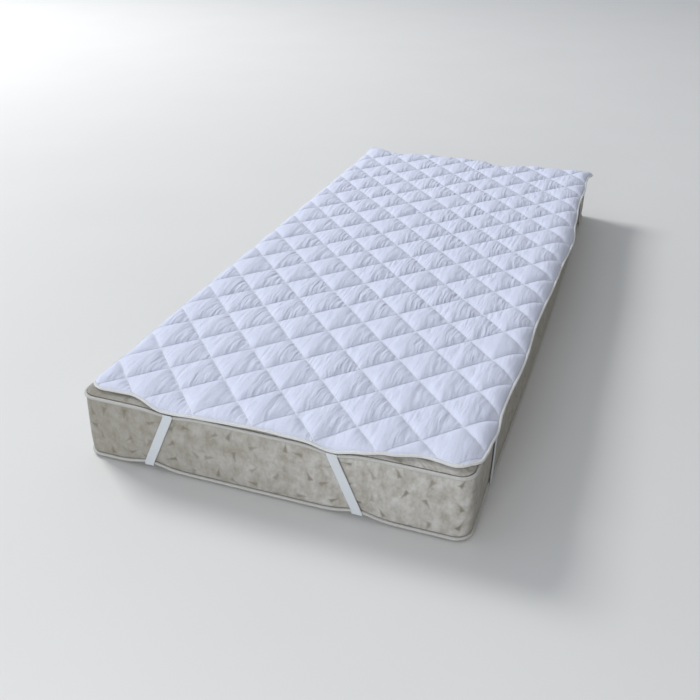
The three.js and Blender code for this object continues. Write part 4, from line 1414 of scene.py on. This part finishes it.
def uneven(tree, spot):
    """The same place, moved a little by noise, so that outlines drawn there aren't straight."""
    drift = node(tree, "ShaderNodeTexNoise", {"Vector": spot, "Scale": DRIFT["scale"], "Detail": 1.0})
    drift = stretched(tree, drift.outputs["Color"], DRIFT["reach"])
    return node(tree, "ShaderNodeVectorMath", {0: drift, 1: spot}, operation="ADD").outputs[0]


def pointed_marks(tree, moved):
    """One mark in each cell of a loose grid: 1 inside it, and the same with its own strength."""
    cells = node(tree, "ShaderNodeTexVoronoi", {"Vector": moved, "Scale": 1 / MARK_GAP,
                                                "Randomness": MARK_SCATTER}, voronoi_dimensions="2D").outputs
    local = node(tree, "ShaderNodeVectorMath", {0: moved, 1: cells["Position"]}, operation="SUBTRACT")
    chance = parts_of(tree, cells["Color"])
    turn = {"Vector": local.outputs[0], "Angle": math_of(tree, "MULTIPLY", chance[0], MARK_TURN)}
    turned = node(tree, "ShaderNodeVectorRotate", turn, rotation_type="Z_AXIS").outputs[0]
    a, b = parts_of(tree, turned)[:2]
    half_width = math_of(tree, "MULTIPLY_ADD", a, MARK["width"] / MARK["length"] / 2, MARK["width"] / 4)
    inside = math_of(tree, "MINIMUM", math_of(tree, "SUBTRACT", half_width, math_of(tree, "ABSOLUTE", b)),
                     math_of(tree, "SUBTRACT", MARK["length"] / 2, a))
    inside = ramp(tree, inside, -MARK["blur"] / 2, MARK["blur"])
    return inside, math_of(tree, "MULTIPLY", inside, math_of(tree, "MULTIPLY_ADD", chance[1], *MARK_CHANCE))


print("marks:", 1000 * MARK["length"], "mm long, about", 1000 * MARK_GAP, "mm apart")

# %% Ticking of the mattress
GROUND = ((0.37, 0.345, 0.295), (0.635, 0.63, 0.615))
MARK_COLOR = (0.20, 0.180, 0.135)
# colour of the painted shade, towards the left and on the right side
PAINTED_SHADE_GROUND = (0.20, 0.183, 0.125)
THREAD_COLOR = (0.47, 0.445, 0.40)
PAINTED_SHADE_LEFT = (-0.46, 0.20, 0.58, 0.0)       # from one x to another: shares of the painted shade
PAINTED_SHADE_RIGHT = (0.444, 0.456, 0.0, 0.52)
STROKES = (110, 60, 1)
MOTTLE = (34, 27, 1)
TICKING_THREADS = (900, 120, 1)
CLOUDS = {"strokes": 0.6, "mottle": 1.3, "less": -0.50, "range": (0.2, 0.72)}
THREAD_SHARE = 0.35
TICKING_PITCH = 0.0011

ticking, tree, shader = material("ticking", GROUND[0], roughness=0.85, sheen=0.15)
spot, along, up = cloth_places(tree)
moved = uneven(tree, spot)
inside, strength = pointed_marks(tree, moved)
strokes = noise_of(tree, stretched(tree, moved, STROKES), 1.0, detail=3.0, roughness=0.6)
mottle = noise_of(tree, stretched(tree, spot, MOTTLE), 1.0, detail=3.0, roughness=0.6)
threads = noise_of(tree, stretched(tree, spot, TICKING_THREADS), 1.0)
light = math_of(tree, "MULTIPLY_ADD", mottle, CLOUDS["mottle"], CLOUDS["less"])
light = math_of(tree, "MULTIPLY_ADD", strokes, CLOUDS["strokes"], light)
ground = mixed_color(tree, ramp(tree, light, *CLOUDS["range"]), *GROUND)
across = parts_of(tree, node(tree, "ShaderNodeTexCoord").outputs["Object"])[0]
# painted shade: darker and browner towards the left, and darker on the mattress's right side
for darker in (PAINTED_SHADE_LEFT, PAINTED_SHADE_RIGHT):
    ground = mixed_color(tree, ramp(tree, across, *darker), ground, PAINTED_SHADE_GROUND)
ground = mixed_color(tree, math_of(tree, "MULTIPLY", threads, THREAD_SHARE), ground, THREAD_COLOR)
tree.links.new(mixed_color(tree, strength, ground, MARK_COLOR), shader.inputs["Base Color"])
bumped(tree, shader, [(mottle, 0.0050, 0.8), (strokes, 0.0010, 0.6), (threads, 0.0007, 0.6),
                      (inside, 0.0004, 0.4), (weave(tree, along, up, TICKING_PITCH), 0.0002, 0.5)])
use(mattress, ticking)
print(ticking.name, len(tree.nodes), "nodes")

# %% [markdown]
# The cloth of the piping
#
# The welts are covered in a plain grey-beige strip whose edges meet in one seam, just outside the
# ticking. That seam shows as a fine dark line with a dent, so it is drawn at its place round the
# cord, and the strip puckers as the tape does.

# %% Cloth of the piping
WELT_SHADES = ((0.52, 0.515, 0.49), (0.63, 0.625, 0.60))
WELT_SEAM_SHADE = (0.42, 0.41, 0.38)
WELT_SEAM = {"place": 0.0244, "width": 0.0012}         # its place is a distance round the cord
WELT_CLOTH_PUCKER = (240, 40, 1)
WELT_THREAD = 0.0009

welt_cloth, tree, shader = material("welt_cloth", WELT_SHADES[0], roughness=0.75, sheen=0.1)
spot, along, across = cloth_places(tree)
pucker = noise_of(tree, stretched(tree, spot, WELT_CLOTH_PUCKER), 1.0)
threads = weave(tree, along, across, WELT_THREAD)
off_seam = math_of(tree, "ABSOLUTE", math_of(tree, "SUBTRACT", across, WELT_SEAM["place"]))
ridge = ramp(tree, off_seam, 0.0, WELT_SEAM["width"])
bumped(tree, shader, [(ridge, 0.0009, 0.8), (pucker, 0.0020, 0.8), (threads, 0.0002, 0.5)])
shade = mixed_color(tree, ridge, WELT_SEAM_SHADE, mixed_color(tree, pucker, *WELT_SHADES))
tree.links.new(shade, shader.inputs["Base Color"])
for welt in (piping_top, piping_bottom):
    use(welt, welt_cloth)
print(welt_cloth.name, len(tree.nodes), "nodes")

# %% [markdown]
# The floor
#
# The bed stands on nothing but a plain pale floor. A curved backdrop is usual in a studio, but a
# very large flat floor looks the same from every side and never shows its end.

# %% Floor
FLOOR_HALF = 45
FLOOR_SHADES = ((0.76, 0.76, 0.75), (0.80, 0.80, 0.79))
FLOOR_GRAIN = 2.0

corners = [(x * FLOOR_HALF, y * FLOOR_HALF, 0) for x, y in ((-1, -1), (1, -1), (1, 1), (-1, 1))]
floor = new_piece("floor", corners, [(0, 1, 2, 3)])
floor_material, tree, shader = material("floor", FLOOR_SHADES[0], roughness=0.6)
grain = noise_of(tree, node(tree, "ShaderNodeTexCoord").outputs["Object"], FLOOR_GRAIN, detail=4.0)
tree.links.new(mixed_color(tree, grain, *FLOOR_SHADES), shader.inputs["Base Color"])
use(floor, floor_material)
print("floor:", 2 * FLOOR_HALF, "m wide")

# %% [markdown]
# The light
#
# The picture's light is broad and soft and comes from the left, low enough to shade the right side
# of every crease, with a lot of light from everywhere else. A sun lamp would print hard shadows,
# so one large panel stands to the left and a small one in front of the foot. The sky is cool on
# the left and dim and warm on the right, which keeps the mattress's right side darker.

# %% Light
KEY = {"place": (-7.6, 2.9, 5.9), "size": (3.2, 2.8), "watts": 640}
FILL = {"place": (0.2, -3.6, 0.9), "size": (1.2, 1.1), "watts": 26}
AIM = (0, 0, 0.15)
SKY = {"left": (0.60, 0.65, 0.73), "right": (0.218, 0.205, 0.180)}


def panel(name, place, size, watts):
    lamp = bpy.data.objects.new(name, bpy.data.lights.new(name, "AREA"))
    lamp.data.shape = "RECTANGLE"
    lamp.data.size, lamp.data.size_y = size
    lamp.data.energy = watts
    lamp.location = place
    lamp.rotation_euler = (Vector(AIM) - Vector(place)).to_track_quat("-Z", "Y").to_euler()
    bpy.context.scene.collection.objects.link(lamp)


panel("key", **KEY)
panel("fill", **FILL)

# %% Sky
world = bpy.data.worlds.new("studio")
bpy.context.scene.world = world
world.use_nodes = True
tree = world.node_tree
sky = tree.nodes["Background"]
to_right = parts_of(tree, node(tree, "ShaderNodeTexCoord").outputs["Generated"])[0]
share = ramp(tree, to_right, -1.0, 1.0)
tree.links.new(mixed_color(tree, share, SKY["left"], SKY["right"]), sky.inputs[0])
bpy.context.scene.view_settings.view_transform = "Standard"
print("sky on the left and on the right:", SKY["left"], SKY["right"])
